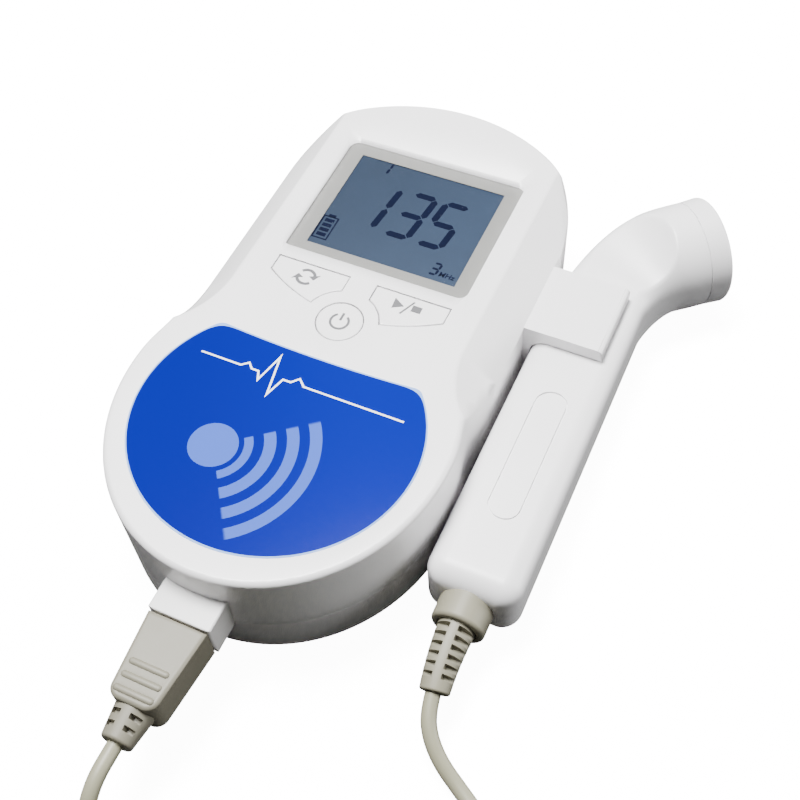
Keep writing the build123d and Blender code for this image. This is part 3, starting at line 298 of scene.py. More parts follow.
def foam(name, colour):
    shade = Shade(name, {"Roughness": 0.85})
    cells = shade.node("ShaderNodeTexVoronoi", None, {"Vector": shade.place(), "Scale": 1.6})
    return shade.paint(colour=shade.mix(cells, darker(colour, 0.6), colour),
                       normal=shade.bump(cells, 0.6, 0.2))


# wave, disc and what follows it shape the sound waves; heading and opening are in radians
labelSize = {"centre": -32.1, "halfWidth": 30.84, "halfLength": 29.67, "top": 18.5,
             "topRadius": 310.0, "corner": 4.0, "rim": 0.34, "sweep": 26.0,
             "wave": (-9.5, -9.0), "disc": 5.2, "firstGap": 1.1, "pitch": 4.6, "gapShare": 0.46,
             "last": 22.6, "heading": -0.15, "opening": 0.8,
             "deepBlue": (0.0, 0.0035, 0.165, 1.0), "lightBlue": (0.001, 0.007, 0.2, 1.0),
             "motif": tone(64, 92, 178), "rimBlue": tone(130, 160, 214)}
# in crystalSize, rim is the colour of the painted shade round the glass's edge
crystalSize = {"centre": 31.6, "halfWidth": 18.6, "halfHeight": 15.4, "sweep": 16,
               "left": tone(35, 45, 60), "right": tone(43, 56, 75), "cloud": tone(39, 50, 67),
               "rim": tone(34, 45, 62)}
boardSize = {"pitch": 1.7, "wander": 5, "mask": tone(18, 84, 48), "copper": tone(40, 122, 72)}
cellSize = {"centre": (0, -29.5, 0), "band": 12.0, "jacket": tone(28, 66, 44), "end": tone(196, 150, 66),
            "scuff": tone(120, 120, 116)}
finishes.update({
    "label": labelPrint(labelSize), "crystalGlass": liquidCrystal(crystalSize), "displayInk": displayInk(),
    "window": clearWindow(), "board": circuitBoard(boardSize), "cell": cellJacket(cellSize),
    "damper": foam("damperFoam", tone(60, 60, 64)), "cone": foam("speakerCone", tone(58, 56, 54)),
    "white": moulded("whitePrint", tone(236, 238, 244), 0.35, grain=3.0, depth=0.005, spread=0.03),
})


def link(name, data):
    piece = bpy.data.objects.new(name, data)
    bpy.context.collection.objects.link(piece)
    return piece


def finish(piece, body, nodes=(), material=None):
    if material:
        piece.data.materials.clear()
        piece.data.materials.append(finishes[material])
    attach(piece, body)
    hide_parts(*nodes)
    return piece


def plainMesh(piece):
    # what the piece comes to with its modifiers on it
    bpy.context.view_layer.update()
    graph = bpy.context.evaluated_depsgraph_get()
    return bpy.data.meshes.new_from_object(piece.evaluated_get(graph))


def shadeByAngle(piece, degrees=32):
    # smooth faces, sharp edges past an angle, flats kept flat by weighted normals
    mesh = piece.data
    mesh.shade_smooth()
    mesh.set_sharp_from_angle(angle=math.radians(degrees))
    even = piece.modifiers.new("evenNormals", "WEIGHTED_NORMAL")
    even.mode = "FACE_AREA_WITH_ANGLE"
    even.weight = 60
    even.keep_sharp = True


def fromNode(node, body, material):
    # a welded, smoothly shaded copy of a node
    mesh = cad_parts[node].data.copy()
    work = bmesh.new()
    work.from_mesh(mesh)
    bmesh.ops.remove_doubles(work, verts=work.verts, dist=0.002 * mm)
    bmesh.ops.dissolve_degenerate(work, edges=work.edges, dist=0.001 * mm)
    work.to_mesh(mesh)
    work.free()
    piece = link(node + "Skin", mesh)
    shadeByAngle(piece)
    return finish(piece, body, [node], material)


def meshOf(name, points, faces):
    # points in millimetres
    mesh = bpy.data.meshes.new(name)
    mesh.from_pydata([tuple(c * mm for c in p) for p in points], [], faces)
    mesh.validate()
    mesh.update()
    return mesh


def outward(mesh):
    work = bmesh.new()
    work.from_mesh(mesh)
    bmesh.ops.remove_doubles(work, verts=work.verts, dist=0.0005 * mm)
    bmesh.ops.recalc_face_normals(work, faces=work.faces)
    work.to_mesh(mesh)
    work.free()
    return mesh


def loftRings(name, rings, closed=False):
    # a skin over rings of the same count, capped at both ends or closed into a hoop
    count = len(rings[0])
    points = [p for ring in rings for p in ring]
    faces = []
    for row in range(len(rings) if closed else len(rings) - 1):
        base, above = row * count, (row + 1) % len(rings) * count
        for k in range(count):
            after = (k + 1) % count
            faces.append((base + k, base + after, above + after, above + k))
    if not closed:
        faces.append(tuple(range(count))[::-1])
        faces.append(tuple(range((len(rings) - 1) * count, len(rings) * count)))
    return outward(meshOf(name, points, faces))


def hoop(name, outer, inner, low, high):
    # a flat frame between two outlines
    steps = [(outer, low), (outer, high), (inner, high), (inner, low)]
    return loftRings(name, [[(x, y, z) for x, y in outline] for outline, z in steps], closed=True)


def printed(name, shapes, low, high):
    # thin plates and raised print: each shape is an outline, filled between two levels
    points, faces = [], []
    for shape in shapes:
        count, base = len(shape), len(points)
        points += [(x, y, low) for x, y in shape] + [(x, y, high) for x, y in shape]
        faces.append(tuple(range(base, base + count))[::-1])
        faces.append(tuple(range(base + count, base + 2 * count)))
        for k in range(count):
            after = (k + 1) % count
            faces.append((base + k, base + after, base + count + after, base + count + k))
    return outward(meshOf(name, points, faces))


def band(path, width):
    # one outline along an open path, mitred at its corners
    left, right = [], []
    for k, (x, y) in enumerate(path):
        sides = []
        for (ax, ay), (bx, by) in zip(path[max(k - 1, 0):k + 1], path[max(k, 1):k + 2]):
            run = math.hypot(bx - ax, by - ay)
            sides.append((-(by - ay) / run, (bx - ax) / run))
        nx, ny = (sides[0][0] + sides[-1][0]) / 2, (sides[0][1] + sides[-1][1]) / 2
        # the limit keeps the tip of a very sharp corner short
        spread = width / 2 / max(nx * nx + ny * ny, 0.04)
        left.append((x + nx * spread, y + ny * spread))
        right.append((x - nx * spread, y - ny * spread))
    return left + right[::-1]


def onCircle(centre, radius, angle):
    return (centre[0] + radius * math.cos(math.radians(angle)),
            centre[1] + radius * math.sin(math.radians(angle)))


def arcPath(centre, radius, start, end, steps):
    return [onCircle(centre, radius, start + (end - start) * k / steps) for k in range(steps + 1)]


def smoothStep(value, low, high):
    t = min(max((value - low) / (high - low), 0.0), 1.0)
    return t * t * (3 - 2 * t)


class NodeTree:
    # a Geometry Nodes tree with named inputs, run once on an object and made a plain mesh
    def __init__(self, name, inputs):
        self.tree = bpy.data.node_groups.new(name, "GeometryNodeTree")
        self.tree.interface.new_socket("Geometry", in_out="INPUT", socket_type="NodeSocketGeometry")
        self.keys = {}
        for label, (kind, value) in inputs.items():
            socket = self.tree.interface.new_socket(label, in_out="INPUT", socket_type=kind)
            self.keys[label] = (socket.identifier, value)
        self.tree.interface.new_socket("Geometry", in_out="OUTPUT", socket_type="NodeSocketGeometry")
        self.start = self.tree.nodes.new("NodeGroupInput")
        self.end = self.tree.nodes.new("NodeGroupOutput")

    def given(self, label):
        return self.start.outputs[label]

    def add(self, kind, settings=None, values=None):
        made = self.tree.nodes.new(kind)
        for key, value in (settings or {}).items():
            setattr(made, key, value)
        for key, value in (values or {}).items():
            if isinstance(value, bpy.types.NodeSocket):
                self.tree.links.new(value, made.inputs[key])
            else:
                made.inputs[key].default_value = value
        return made

    def close(self, geometry, material):
        real = self.add("GeometryNodeRealizeInstances", None, {"Geometry": geometry})
        coated = self.add("GeometryNodeSetMaterial", None,
                          {"Geometry": real.outputs[0], "Material": material})
        self.tree.links.new(coated.outputs[0], self.end.inputs[0])

    def run(self, name, carrier):
        worker = carrier.modifiers.new("nodes", "NODES")
        worker.node_group = self.tree
        for identifier, value in self.keys.values():
            worker[identifier] = value
        mesh = plainMesh(carrier)
        carrier.modifiers.remove(worker)
        bpy.data.objects.remove(carrier)
        mesh.name = name
        return link(name, mesh)


# camera, lights and floor
print("camera and light")
view = {"place": (85.11, -138.63, 224.95), "turn": (35.079, 2.430, 24.463), "lens": 52.99,
        "sensor": 36, "near": 0.01}
cameraData = bpy.data.cameras.new("view")
cameraData.lens = view["lens"]
cameraData.sensor_width = view["sensor"]
cameraData.clip_start = view["near"]
camera = link("view", cameraData)
camera.location = [c * mm for c in view["place"]]
camera.rotation_euler = [math.radians(a) for a in view["turn"]]
bpy.context.scene.camera = camera

# the studio is in metres
studio = {
    "sky": 0.055, "floorBounce": (0.05, 0.05, 0.05, 1.0), "floorGlow": 13.0, "floorHalf": 3,
    "boxes": {
        "keyBox": {"place": (-0.22, 0.14, 1.1), "aim": (0.0, 0.0, 0.0), "size": (0.5, 0.3), "power": 50.0},
        "leftBox": {"place": (-0.9, 0.1, 0.4), "aim": (0.0, 0.0, 0.0), "size": (0.4, 0.4), "power": 0.6},
        "rightBox": {"place": (0.9, 0.42, 0.24), "aim": (0.03, 0.0, 0.01), "size": (0.4, 0.4),
                     "power": 7.2},
        "backBox": {"place": (0.35, 0.95, 0.5), "aim": (0.02, 0.0, 0.01), "size": (0.8, 0.5),
                    "power": 5.0},
    },
}


def softLight(name, box):
    data = bpy.data.lights.new(name, "AREA")
    data.shape = "RECTANGLE"
    data.size, data.size_y = box["size"]
    data.energy = box["power"]
    lamp = link(name, data)
    lamp.location = box["place"]
    lamp.rotation_euler = (Vector(box["aim"]) - Vector(box["place"])).to_track_quat("-Z", "Y").to_euler()


for name, box in studio["boxes"].items():
    softLight(name, box)
world = bpy.data.worlds.new("studio")
bpy.context.scene.world = world
world.use_nodes = True
background = world.node_tree.nodes["Background"]
background.inputs["Color"].default_value = (1, 1, 1, 1)
background.inputs["Strength"].default_value = studio["sky"]

half = studio["floorHalf"] / mm
corners = [(-half, -half, 0), (half, -half, 0), (half, half, 0), (-half, half, 0)]
floor = link("floor", meshOf("floor", corners, [(0, 1, 2, 3)]))


def floorPaper():
    # bright pale paper that throws only a little light back on the object
    shade = Shade("floorPaper", {"Roughness": 0.8, "Emission Strength": studio["floorGlow"]})
    grain = shade.noise(shade.place(), 0.4)
    pale = shade.mix(grain, tone(250, 250, 250), tone(254, 254, 254))
    shade.paint(colour=pale, glow=pale)
    dull = shade.node("ShaderNodeBsdfDiffuse", None, {"Color": studio["floorBounce"]})
    seen = shade.node("ShaderNodeLightPath", out="Is Camera Ray")
    both = shade.node("ShaderNodeMixShader", None,
                      {0: seen, 1: dull, 2: Value(shade, shade.surface.outputs[0])})
    shade.feed(shade.tree.nodes["Material Output"].inputs["Surface"], both)
    return shade.material


floor.data.materials.append(floorPaper())

# the lead
print("lead")
leadSize = {
    "radius": 1.6,
    "probeLeg": [(47.97, -63.86, 8.89), (48.52, -67.8, 7.9), (50.66, -71.47, 6.31), (54.16, -74.47, 4.31),
                 (58.86, -76.87, 2.3), (65.96, -80.97, 1.6), (73.46, -90.87, 1.6), (75.16, -103.37, 1.6),
                 (72.6, -117.5, 1.6)],
    "plugLeg": [(30.0, -145.6, 6.2), (19.5, -140.6, 4.4), (8.5, -133.0, 2.2), (3.0, -123.0, 3.8),
                (1.0, -114.0, 9.6), (0, -106.6, 15.8), (0, -98.4, 15.8), (0, -90.9, 15.8)],
    "coilCentre": (42.0, -125.0), "middleRadius": 18.0, "across": 4, "high": 2,
    "start": -30.0, "shift": 70.0, "pointsPerTurn": 18, "lastPart": 75.0, "dip": 1.25, "sides": 20,
}


def coilPoints(size):
    # layer by layer: inwards on the floor, then outwards on top
    wide = 2 * size["radius"]
    outer = size["middleRadius"] + wide * (size["across"] - 1) / 2
    slots = []
    for layer in range(size["high"]):
        row = [(outer - wide * k, size["radius"] + wide * layer) for k in range(size["across"])]
        slots += row if layer % 2 == 0 else row[::-1]
    points, steps = [], size["pointsPerTurn"]
    shiftSteps = size["shift"] / 360 * steps
    for turn, (radius, level) in enumerate(slots):
        last = turn == len(slots) - 1
        for k in range(steps):
            angle = size["start"] - 360 * k / steps
            if last and angle < size["start"] - size["lastPart"]:
                break
            # each turn moves to the next slot just before it is done
            share = smoothStep(k, steps - shiftSteps, steps) if not last else 0.0
            after = slots[min(turn + 1, len(slots) - 1)]
            r = radius + (after[0] - radius) * share
            z = level + (after[1] - level) * share
            if abs(after[0] - radius) < 0.01:
                # it leans in while it climbs to the upper layer
                r -= size["dip"] * math.sin(math.pi * share)
            points.append((*onCircle(size["coilCentre"], r, angle), z))
    return points


def leadCurve(size):
    data = bpy.data.curves.new("leadRoute", "CURVE")
    data.dimensions = "3D"
    data.resolution_u = 6
    spline = data.splines.new("NURBS")
    route = size["probeLeg"] + coilPoints(size) + size["plugLeg"]
    spline.points.add(len(route) - 1)
    for point, spot in zip(spline.points, route):
        point.co = (*[c * mm for c in spot], 1)
    spline.order_u = 3
    spline.use_endpoint_u = True
    return data


def leadTube(size):
    carrier = link("leadCarrier", leadCurve(size))
    path = [tuple(v.co) for v in plainMesh(carrier).vertices]
    nodes = NodeTree("leadTube", {"Radius": ("NodeSocketFloat", size["radius"] * mm)})
    ring = nodes.add("GeometryNodeCurvePrimitiveCircle", None,
                     {"Resolution": size["sides"], "Radius": nodes.given("Radius")})
    tube = nodes.add("GeometryNodeCurveToMesh", None,
                     {"Curve": nodes.given("Geometry"), "Profile Curve": ring.outputs[0],
                      "Fill Caps": True})
    smooth = nodes.add("GeometryNodeSetShadeSmooth", None, {"Geometry": tube.outputs[0]})
    nodes.close(smooth.outputs[0], finishes["jacket"])
    return nodes.run("lead", carrier), path


lead, leadPath = leadTube(leadSize)
outward(lead.data)
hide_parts("lead_cord_probe_side", "lead_cord_plug_side", "lead_coil")
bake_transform(lead)

# console
print("console")
for node, slotName, look in [
        ("front_cover", "white_plastic", "case"), ("rear_cover", "white_plastic", "back"),
        ("probe_holder", "white_plastic", "case"), ("face_label", "label_blue", "label"),
        ("lead_socket", "white_plastic", "socket")]:
    fromNode(node, "console", look)
fromNode("battery_door", "battery_cover", "back")
fromNode("volume_wheel", "volume_control", "dark")
for node, body in [("mode_key", "mode_button"), ("power_key", "power_button"),
                   ("start_stop_key", "start_stop_button")]:
    fromNode(node, body, "key")

# display
print("display")
displaySize = {"centre": 31.6, "width": 44.9, "height": 37.8, "corner": 2.2, "low": 26.8, "high": 27.8,
               "openLeft": -18.3, "openRight": 18.25, "openLow": 16.85, "openHigh": 46.97,
               "openCorner": 0.15, "maskHigh": 26.92, "skin": 0.12}


def roundedOutline(left, right, low, high, radius, steps=10):
    outline = []
    for cx, cy, start in [(right - radius, high - radius, 0), (left + radius, high - radius, 90),
                          (left + radius, low + radius, 180), (right - radius, low + radius, 270)]:
        outline += arcPath((cx, cy), radius, start, start + 90, steps)
    return outline


def windowOutline(size):
    half = size["width"] / 2
    return roundedOutline(-half, half, size["centre"] - size["height"] / 2,
                          size["centre"] + size["height"] / 2, size["corner"])


def displayMask(size):
    # a printed frame with a sharp-cornered opening
    inner = roundedOutline(size["openLeft"], size["openRight"], size["openLow"], size["openHigh"],
                           size["openCorner"])
    return hoop("displayMask", windowOutline(size), inner, size["low"], size["maskHigh"])


def displayCover(size):
    return printed("displayCover", [windowOutline(size)], size["high"] - size["skin"], size["high"])


finish(link("displayMask", displayMask(displaySize)), "console", ["display_window"], "mask")
finish(link("displayCover", displayCover(displaySize)), "console", (), "window")
fromNode("display_glass", "console", "crystalGlass")

digitSize = {"base": 25.45, "height": 15.1, "width": 7.0, "slant": 0.115, "thick": 1.55, "gap": 0.16}
digitRights = {"1": -3.95, "3": 4.95, "5": 13.1}
smallFigures = [
    {"digit": "1", "left": -11.9, "base": 43.1, "width": 1.6, "height": 4.2, "thick": 0.56, "gap": 0.08,
     "slant": 0.12},
    {"digit": "3", "left": 10.9, "base": 18.4, "width": 2.2, "height": 3.8, "thick": 0.54, "gap": 0.06,
     "slant": 0.12}]
batterySize = {"left": -18.05, "right": -14.5, "low": 18.85, "high": 25.75, "line": 0.32, "slit": 0.02,
               "nubInset": 0.9, "nubHeight": 0.8, "bars": 4, "firstBar": 0.75, "barPitch": 1.5,
               "barInset": 0.65, "barHeight": 1.0}
unitSize = {"text": "MHz", "left": 13.5, "base": 18.6, "height": 1.45, "sizePerHeight": 1.35,
            "slant": 0.12, "bolder": 0.03}
figureLevels = {"low": 26.7, "high": 26.74}
# a to g: top, upper right, lower right, bottom, lower left, upper left, middle
litSegments = {"1": "bc", "3": "abcdg", "5": "acdfg"}


def segmentShapes(digit, left, base, width, height, thick, gap, slant):
    half, middle, right, top = thick / 2, height / 2, width - thick / 2, height - thick / 2
    ends = {"a": ((half, top), (right, top)), "b": ((right, top), (right, middle)),
            "c": ((right, middle), (right, half)), "d": ((half, half), (right, half)),
            "e": ((half, half), (half, middle)), "f": ((half, middle), (half, top)),
            "g": ((half, middle), (right, middle))}
    shapes = []
    for key in litSegments[digit]:
        (ax, ay), (bx, by) = ends[key]
        run = math.hypot(bx - ax, by - ay)
        ux, uy = (bx - ax) / run, (by - ay) / run
        ax, ay, bx, by = ax + ux * gap, ay + uy * gap, bx - ux * gap, by - uy * gap
        outline = [(ax, ay), (ax + (ux - uy) * half, ay + (uy + ux) * half),
                   (bx + (-ux - uy) * half, by + (-uy + ux) * half), (bx, by),
                   (bx + (-ux + uy) * half, by + (-uy - ux) * half),
                   (ax + (ux + uy) * half, ay + (uy - ux) * half)]
        shapes.append([(left + x + slant * y, base + y) for x, y in outline])
    return shapes


def bar(left, right, low, high):
    return [(left, low), (right, low), (right, high), (left, high)]


def batteryShapes(size):
    # a frame, a nub and its bars
    left, right, low, high = (size[key] for key in ("left", "right", "low", "high"))
    middle, slit = (left + right) / 2, size["slit"]
    shapes = [band([(middle + slit, low), (right, low), (right, high), (left, high), (left, low),
                    (middle - slit, low)], size["line"]),
              bar(left + size["nubInset"], right - size["nubInset"], high, high + size["nubHeight"])]
    for k in range(size["bars"]):
        y = low + size["firstBar"] + k * size["barPitch"]
        shapes.append(bar(left + size["barInset"], right - size["barInset"], y, y + size["barHeight"]))
    return shapes


def displayPrint(size):
    shapes = []
    for digit, right in digitRights.items():
        left = right - size["width"] - size["slant"] * size["height"]
        shapes += segmentShapes(digit=digit, left=left, **size)
    shapes += batteryShapes(batterySize)
    for figure in smallFigures:
        shapes += segmentShapes(**figure)
    return printed("displayFigures", shapes, **figureLevels)


finish(link("displayFigures", displayPrint(digitSize)), "console", (), "displayInk")


def smallWord(size, low, high):
    data = bpy.data.curves.new("unit", "FONT")
    data.body = size["text"]
    data.size = size["height"] * size["sizePerHeight"] * mm
    data.extrude = (high - low) / 2 * mm
    data.shear = size["slant"]
    data.offset = size["bolder"] * mm
    carrier = link("unitCarrier", data)
    mesh = plainMesh(carrier)
    bpy.data.objects.remove(carrier)
    mesh.transform(Matrix.Translation((size["left"] * mm, size["base"] * mm, (high + low) / 2 * mm)))
    return outward(mesh)


finish(link("displayUnit", smallWord(unitSize, **figureLevels)), "console", (),
       "displayInk")

# key and label prints
print("prints")
printLevels = {"low": 28.99, "high": 29.03}
refreshSize = {"centre": (-12.4, 5.5), "radius": 2.0, "line": 0.7, "starts": (26, 206), "sweep": 112,
               "head": 1.9, "headTurn": 38}
powerSize = {"centre": (0.0, -3.0), "radius": 2.0, "line": 0.56, "opening": (125, 415), "barLow": 0.15,
             "barHigh": 1.2}
playSize = {"triangle": [(8.7, 4.7), (11.1, 6.05), (8.45, 7.6)], "slash": [(11.0, 3.9), (12.85, 7.95)],
            "slashLine": 0.42, "square": (12.9, 15.1, 5.35, 7.1)}
traceSize = {"level": -21.4, "reach": 23.5, "line": 0.42,
             "pulse": [(-14.0, 0), (-12.6, 1.2), (-11.4, 0), (-9.8, 0), (-8.9, -2.0), (-7.2, 5.0),
                       (-5.4, -4.6), (-4.0, 0), (-2.2, 0), (-0.8, 1.5), (0.8, 0)]}


def refreshShapes(size):
    # two curved arrows chasing each other, each one outline
    shapes = []
    centre, radius, line = size["centre"], size["radius"], size["line"]
    for start in size["starts"]:
        inner = arcPath(centre, radius - line / 2, start, start + size["sweep"], 16)
        outer = arcPath(centre, radius + line / 2, start, start + size["sweep"], 16)
        head = [onCircle(centre, radius + line * reach, start - turn)
                for reach, turn in [(-size["head"], 0), (0, size["headTurn"]), (size["head"], 0)]]
        shapes.append(inner[::-1] + head + outer)
    return shapes


def powerShapes(size):
    (x, y), radius, half = size["centre"], size["radius"], size["line"] / 2
    return [band(arcPath((x, y), radius, *size["opening"], 40), size["line"]),
            bar(x - half, x + half, y + radius * size["barLow"], y + radius * size["barHigh"])]


def playShapes(size):
    return [size["triangle"], band(size["slash"], size["slashLine"]), bar(*size["square"])]


def traceShapes(size):
    # a plain pulse trace across the upper part of the label
    level, reach = size["level"], size["reach"]
    path = [(-reach, level)] + [(x, level + rise) for x, rise in size["pulse"]] + [(reach, level)]
    return [band(path, size["line"])]


for name, shapes, body, look in [
        ("modeIcon", refreshShapes(refreshSize), "mode_button", "ink"),
        ("powerIcon", powerShapes(powerSize), "power_button", "ink"),
        ("playIcon", playShapes(playSize), "start_stop_button", "ink"),
        ("labelTrace", traceShapes(traceSize), "console", "white")]:
    finish(link(name, printed(name, shapes, **printLevels)), body, (), look)

# probe
print("probe")
# widens, rises, rounds and softens: stretches of the centre line, counted from the start of the
# bend, over which the handle's section becomes the round neck
probeSize = {"centre": 47.2, "foot": -45.2, "bendStart": 32.6, "bendRadius": 30.7, "bendAngle": 49.0,
             "seam": 4.4, "halfWidth": 10.1, "back": 2.0, "front": 18.5, "corner": 4.3, "footRadius": 4.6,
             "neckRadius": 12.35, "neckLevel": 12.8, "split": 10.25, "slit": 0.025,
             "widens": (2, 28), "rises": (5, 23), "rounds": (3, 24), "softens": (3, 9), "scoopStart": 9.6,
             "scoopRadius": 18.5, "softness": 0.3, "seamBevel": 0.3, "leastCorner": 0.6, "stepLong": 1.6,
             "stepFine": 0.4, "fineFrom": -2}


def probePlace(size, s):
    # a point of the centre line and its heading, s counted from the start of the bend
    turn = math.radians(size["bendAngle"])
    arc = size["bendRadius"] * turn
    if s <= 0:
        return size["centre"], size["bendStart"] + s, 0.0
    angle = min(s, arc) / size["bendRadius"]
    x = size["centre"] + size["bendRadius"] * (1 - math.cos(angle))
    y = size["bendStart"] + size["bendRadius"] * math.sin(angle)
    more = max(s - arc, 0.0)
    return x + more * math.sin(angle), y + more * math.cos(angle), angle


def roundedLoop(halfWidth, low, high, radius, arcSteps=36, edgeSteps=8):
    radius = min(radius, 0.995 * halfWidth, 0.995 * (high - low) / 2)
    left, right = -halfWidth + radius, halfWidth - radius
    bottom, top = low + radius, high - radius
    loop = []
    corners = [(right, top, 0), (left, top, 90), (left, bottom, 180), (right, bottom, 270)]
    for index, (cx, cy, start) in enumerate(corners):
        loop += arcPath((cx, cy), radius, start, start + 90, arcSteps)
        nx, ny, nextStart = corners[(index + 1) % 4]
        (ax, ay), (bx, by) = loop[-1], onCircle((nx, ny), radius, nextStart)
        for k in range(1, edgeSteps):
            t = k / edgeSteps
            loop.append((ax + (bx - ax) * t, ay + (by - ay) * t))
    return loop


def softLeast(a, b, k):
    h = max(k - abs(a - b), 0.0) / k
    return min(a, b) - h * h * k / 4


def probeRing(size, s):
    # one cross-section: the body's outline cut off by the flat front and its scoop
    foot = size["foot"] - size["bendStart"]
    wide = smoothStep(s, *size["widens"])
    rise = smoothStep(s, *size["rises"])
    high = size["front"] + (size["neckLevel"] + size["neckRadius"] - size["front"]) * rise
    low = size["back"] + (size["neckLevel"] - size["neckRadius"] - size["back"]) * wide
    halfWidth = size["halfWidth"] + (size["neckRadius"] - size["halfWidth"]) * wide
    radius = size["corner"] + (size["neckRadius"] - size["corner"]) * smoothStep(s, *size["rounds"])
    inset = 0.0
    near = s - foot
    if near < size["footRadius"]:
        r = size["footRadius"]
        inset = r - math.sqrt(max(r * r - (r - near) ** 2, 0.0))
    left = size["bendRadius"] * math.radians(size["bendAngle"]) + size["seam"] - s
    inset = max(inset, size["seamBevel"] - left)
    loop = roundedLoop(halfWidth - inset, low + inset, high - inset,
                       max(radius - inset, size["leastCorner"]))
    past, r = s - size["scoopStart"], size["scoopRadius"]
    if past <= 0:
        cut = size["front"]
    elif past < r * 0.985:
        cut = size["front"] + r - math.sqrt(r * r - past * past)
    else:
        # above everything
        cut = 10 * r
    cut -= inset
    # the soft cut fades in where the body starts to rise above the flat front
    soft = size["softness"] * smoothStep(s, *size["softens"])
    if soft > 0.01:
        loop = [(u, softLeast(z, cut, soft * 2)) for u, z in loop]
    x, y, angle = probePlace(size, s)
    side = (math.cos(angle), -math.sin(angle))
    return [(x + u * side[0], y + u * side[1], z) for u, z in loop]


def probeSkin(size):
    arc = size["bendRadius"] * math.radians(size["bendAngle"])
    foot = size["foot"] - size["bendStart"]
    stops = [foot + size["footRadius"] * (1 - math.cos(math.radians(a))) for a in range(0, 91, 9)]
    s = stops[-1]
    # long steps on the straight handle, fine ones from just before the bend
    while s < size["fineFrom"]:
        s += size["stepLong"]
        stops.append(min(s, size["fineFrom"] + 1))
    while s < arc + size["seam"]:
        s += size["stepFine"]
        stops.append(min(s, arc + size["seam"]))
    stops.append(stops[-1] - size["seamBevel"])
    stops = sorted(set(round(v, 4) for v in stops))
    return loftRings("probeSkin", [probeRing(size, v) for v in stops])


panelSize = {"centre": -12.2, "length": 33.5, "width": 7.2, "line": 0.42, "depth": 0.4}


def panelGroove(size, probe):
    # the stadium-shaped line on the handle's front, as a closed ring to cut with
    def stadium(inset):
        radius = size["width"] / 2 - inset
        reach = size["length"] / 2 - size["width"] / 2
        x, y = probe["centre"], size["centre"]
        return arcPath((x, y + reach), radius, 0, 180, 20) + arcPath((x, y - reach), radius, 180, 360, 20)
    return hoop("panelGroove", stadium(0), stadium(size["line"]), probe["front"] - size["depth"],
                probe["front"] + 1)


def halfOf(mesh, level, keepUpper):
    work = bmesh.new()
    work.from_mesh(mesh)
    everything = work.verts[:] + work.edges[:] + work.faces[:]
    cut = bmesh.ops.bisect_plane(work, geom=everything, plane_co=(0, 0, level * mm), plane_no=(0, 0, 1),
                                 clear_inner=keepUpper, clear_outer=not keepUpper)
    rim = [e for e in cut["geom_cut"] if isinstance(e, bmesh.types.BMEdge)]
    bmesh.ops.contextual_create(work, geom=rim)
    bmesh.ops.recalc_face_normals(work, faces=work.faces)
    half = bpy.data.meshes.new("half")
    work.to_mesh(half)
    work.free()
    return half


def cutWith(piece, tool):
    carver = link("carver", tool)
    cut = piece.modifiers.new("carve", "BOOLEAN")
    cut.operation = "DIFFERENCE"
    cut.object = carver
    cut.solver = "EXACT"
    mesh = plainMesh(piece)
    piece.modifiers.remove(cut)
    bpy.data.objects.remove(carver)
    piece.data = mesh


probeWhole = probeSkin(probeSize)
probeFront = link("probeFront", halfOf(probeWhole, probeSize["split"] + probeSize["slit"], True))
cutWith(probeFront, panelGroove(panelSize, probeSize))
probeRear = link("probeRear", halfOf(probeWhole, probeSize["split"] - probeSize["slit"], False))
for piece, node in [(probeFront, "probe_front_shell"), (probeRear, "probe_rear_shell")]:
    shadeByAngle(piece, 40)
    finish(piece, "probe", [node], "probe")
for node, slotName, look in [("probe_head_ring", "white_plastic", "probe"),
                             ("transducer_lens", "transducer_face", "lens"),
                             ("probe_screws", "steel", "steel")]:
    fromNode(node, "probe", look)

# strain reliefs and plug
print("strain reliefs")


def slottedRing(stop, size):
    # a round section, with a groove cut into it on both sides of its two spines
    place, heading, radius, grooved = stop
    origin, heading = Vector(place), Vector(heading).normalized()
    side = Vector((1, 0, 0))
    side = (side - heading * side.dot(heading)).normalized()
    up = side.cross(heading)
    if up.z < 0:
        up = -up
    edge = math.acos(min(size["spine"] / radius, 0.95))
    # a quarter turn with two points close together at the groove's edge, then its mirror images
    quarter = [edge * k / 10 * 0.985 for k in range(11)]
    quarter += [edge * 1.015 + (math.pi / 2 - edge) * k / 5 * 0.95 for k in range(1, 5)]
    angles = (quarter + [math.pi / 2] + [math.pi - a for a in quarter[::-1]]
              + [math.pi + a for a in quarter[1:]] + [math.pi * 1.5]
              + [2 * math.pi - a for a in quarter[:0:-1]])
    ring = []
    for angle in angles:
        u, w = radius * math.cos(angle), radius * math.sin(angle)
        if grooved and size["spine"] < abs(u) < radius * size["reach"]:
            w *= size["floor"]
        ring.append(tuple(origin + side * u + up * w))
    return ring


def tailRadius(size, along):
    # the tail's taper, with a rounded edge at its end
    share, left, r = along / size["length"], size["length"] - along, size["tipRounding"]
    radius = size["rootRadius"] + (size["tipRadius"] - size["rootRadius"]) * share
    if left < r:
        radius -= r - math.sqrt(max(r ** 2 - (r - left) ** 2, 0.0))
    return radius


def inSlot(size, along):
    row = (along - size["firstRow"]) / size["rowPitch"]
    return 0 <= row < size["rows"] and (row % 1) * size["rowPitch"] < size["slotWide"]


def slottedPiece(name, line, size):
    # line: stops with a place, a heading, a radius and whether a groove is there
    piece = link(name, loftRings(name, [slottedRing(stop, size) for stop in line]))
    shadeByAngle(piece)
    return piece


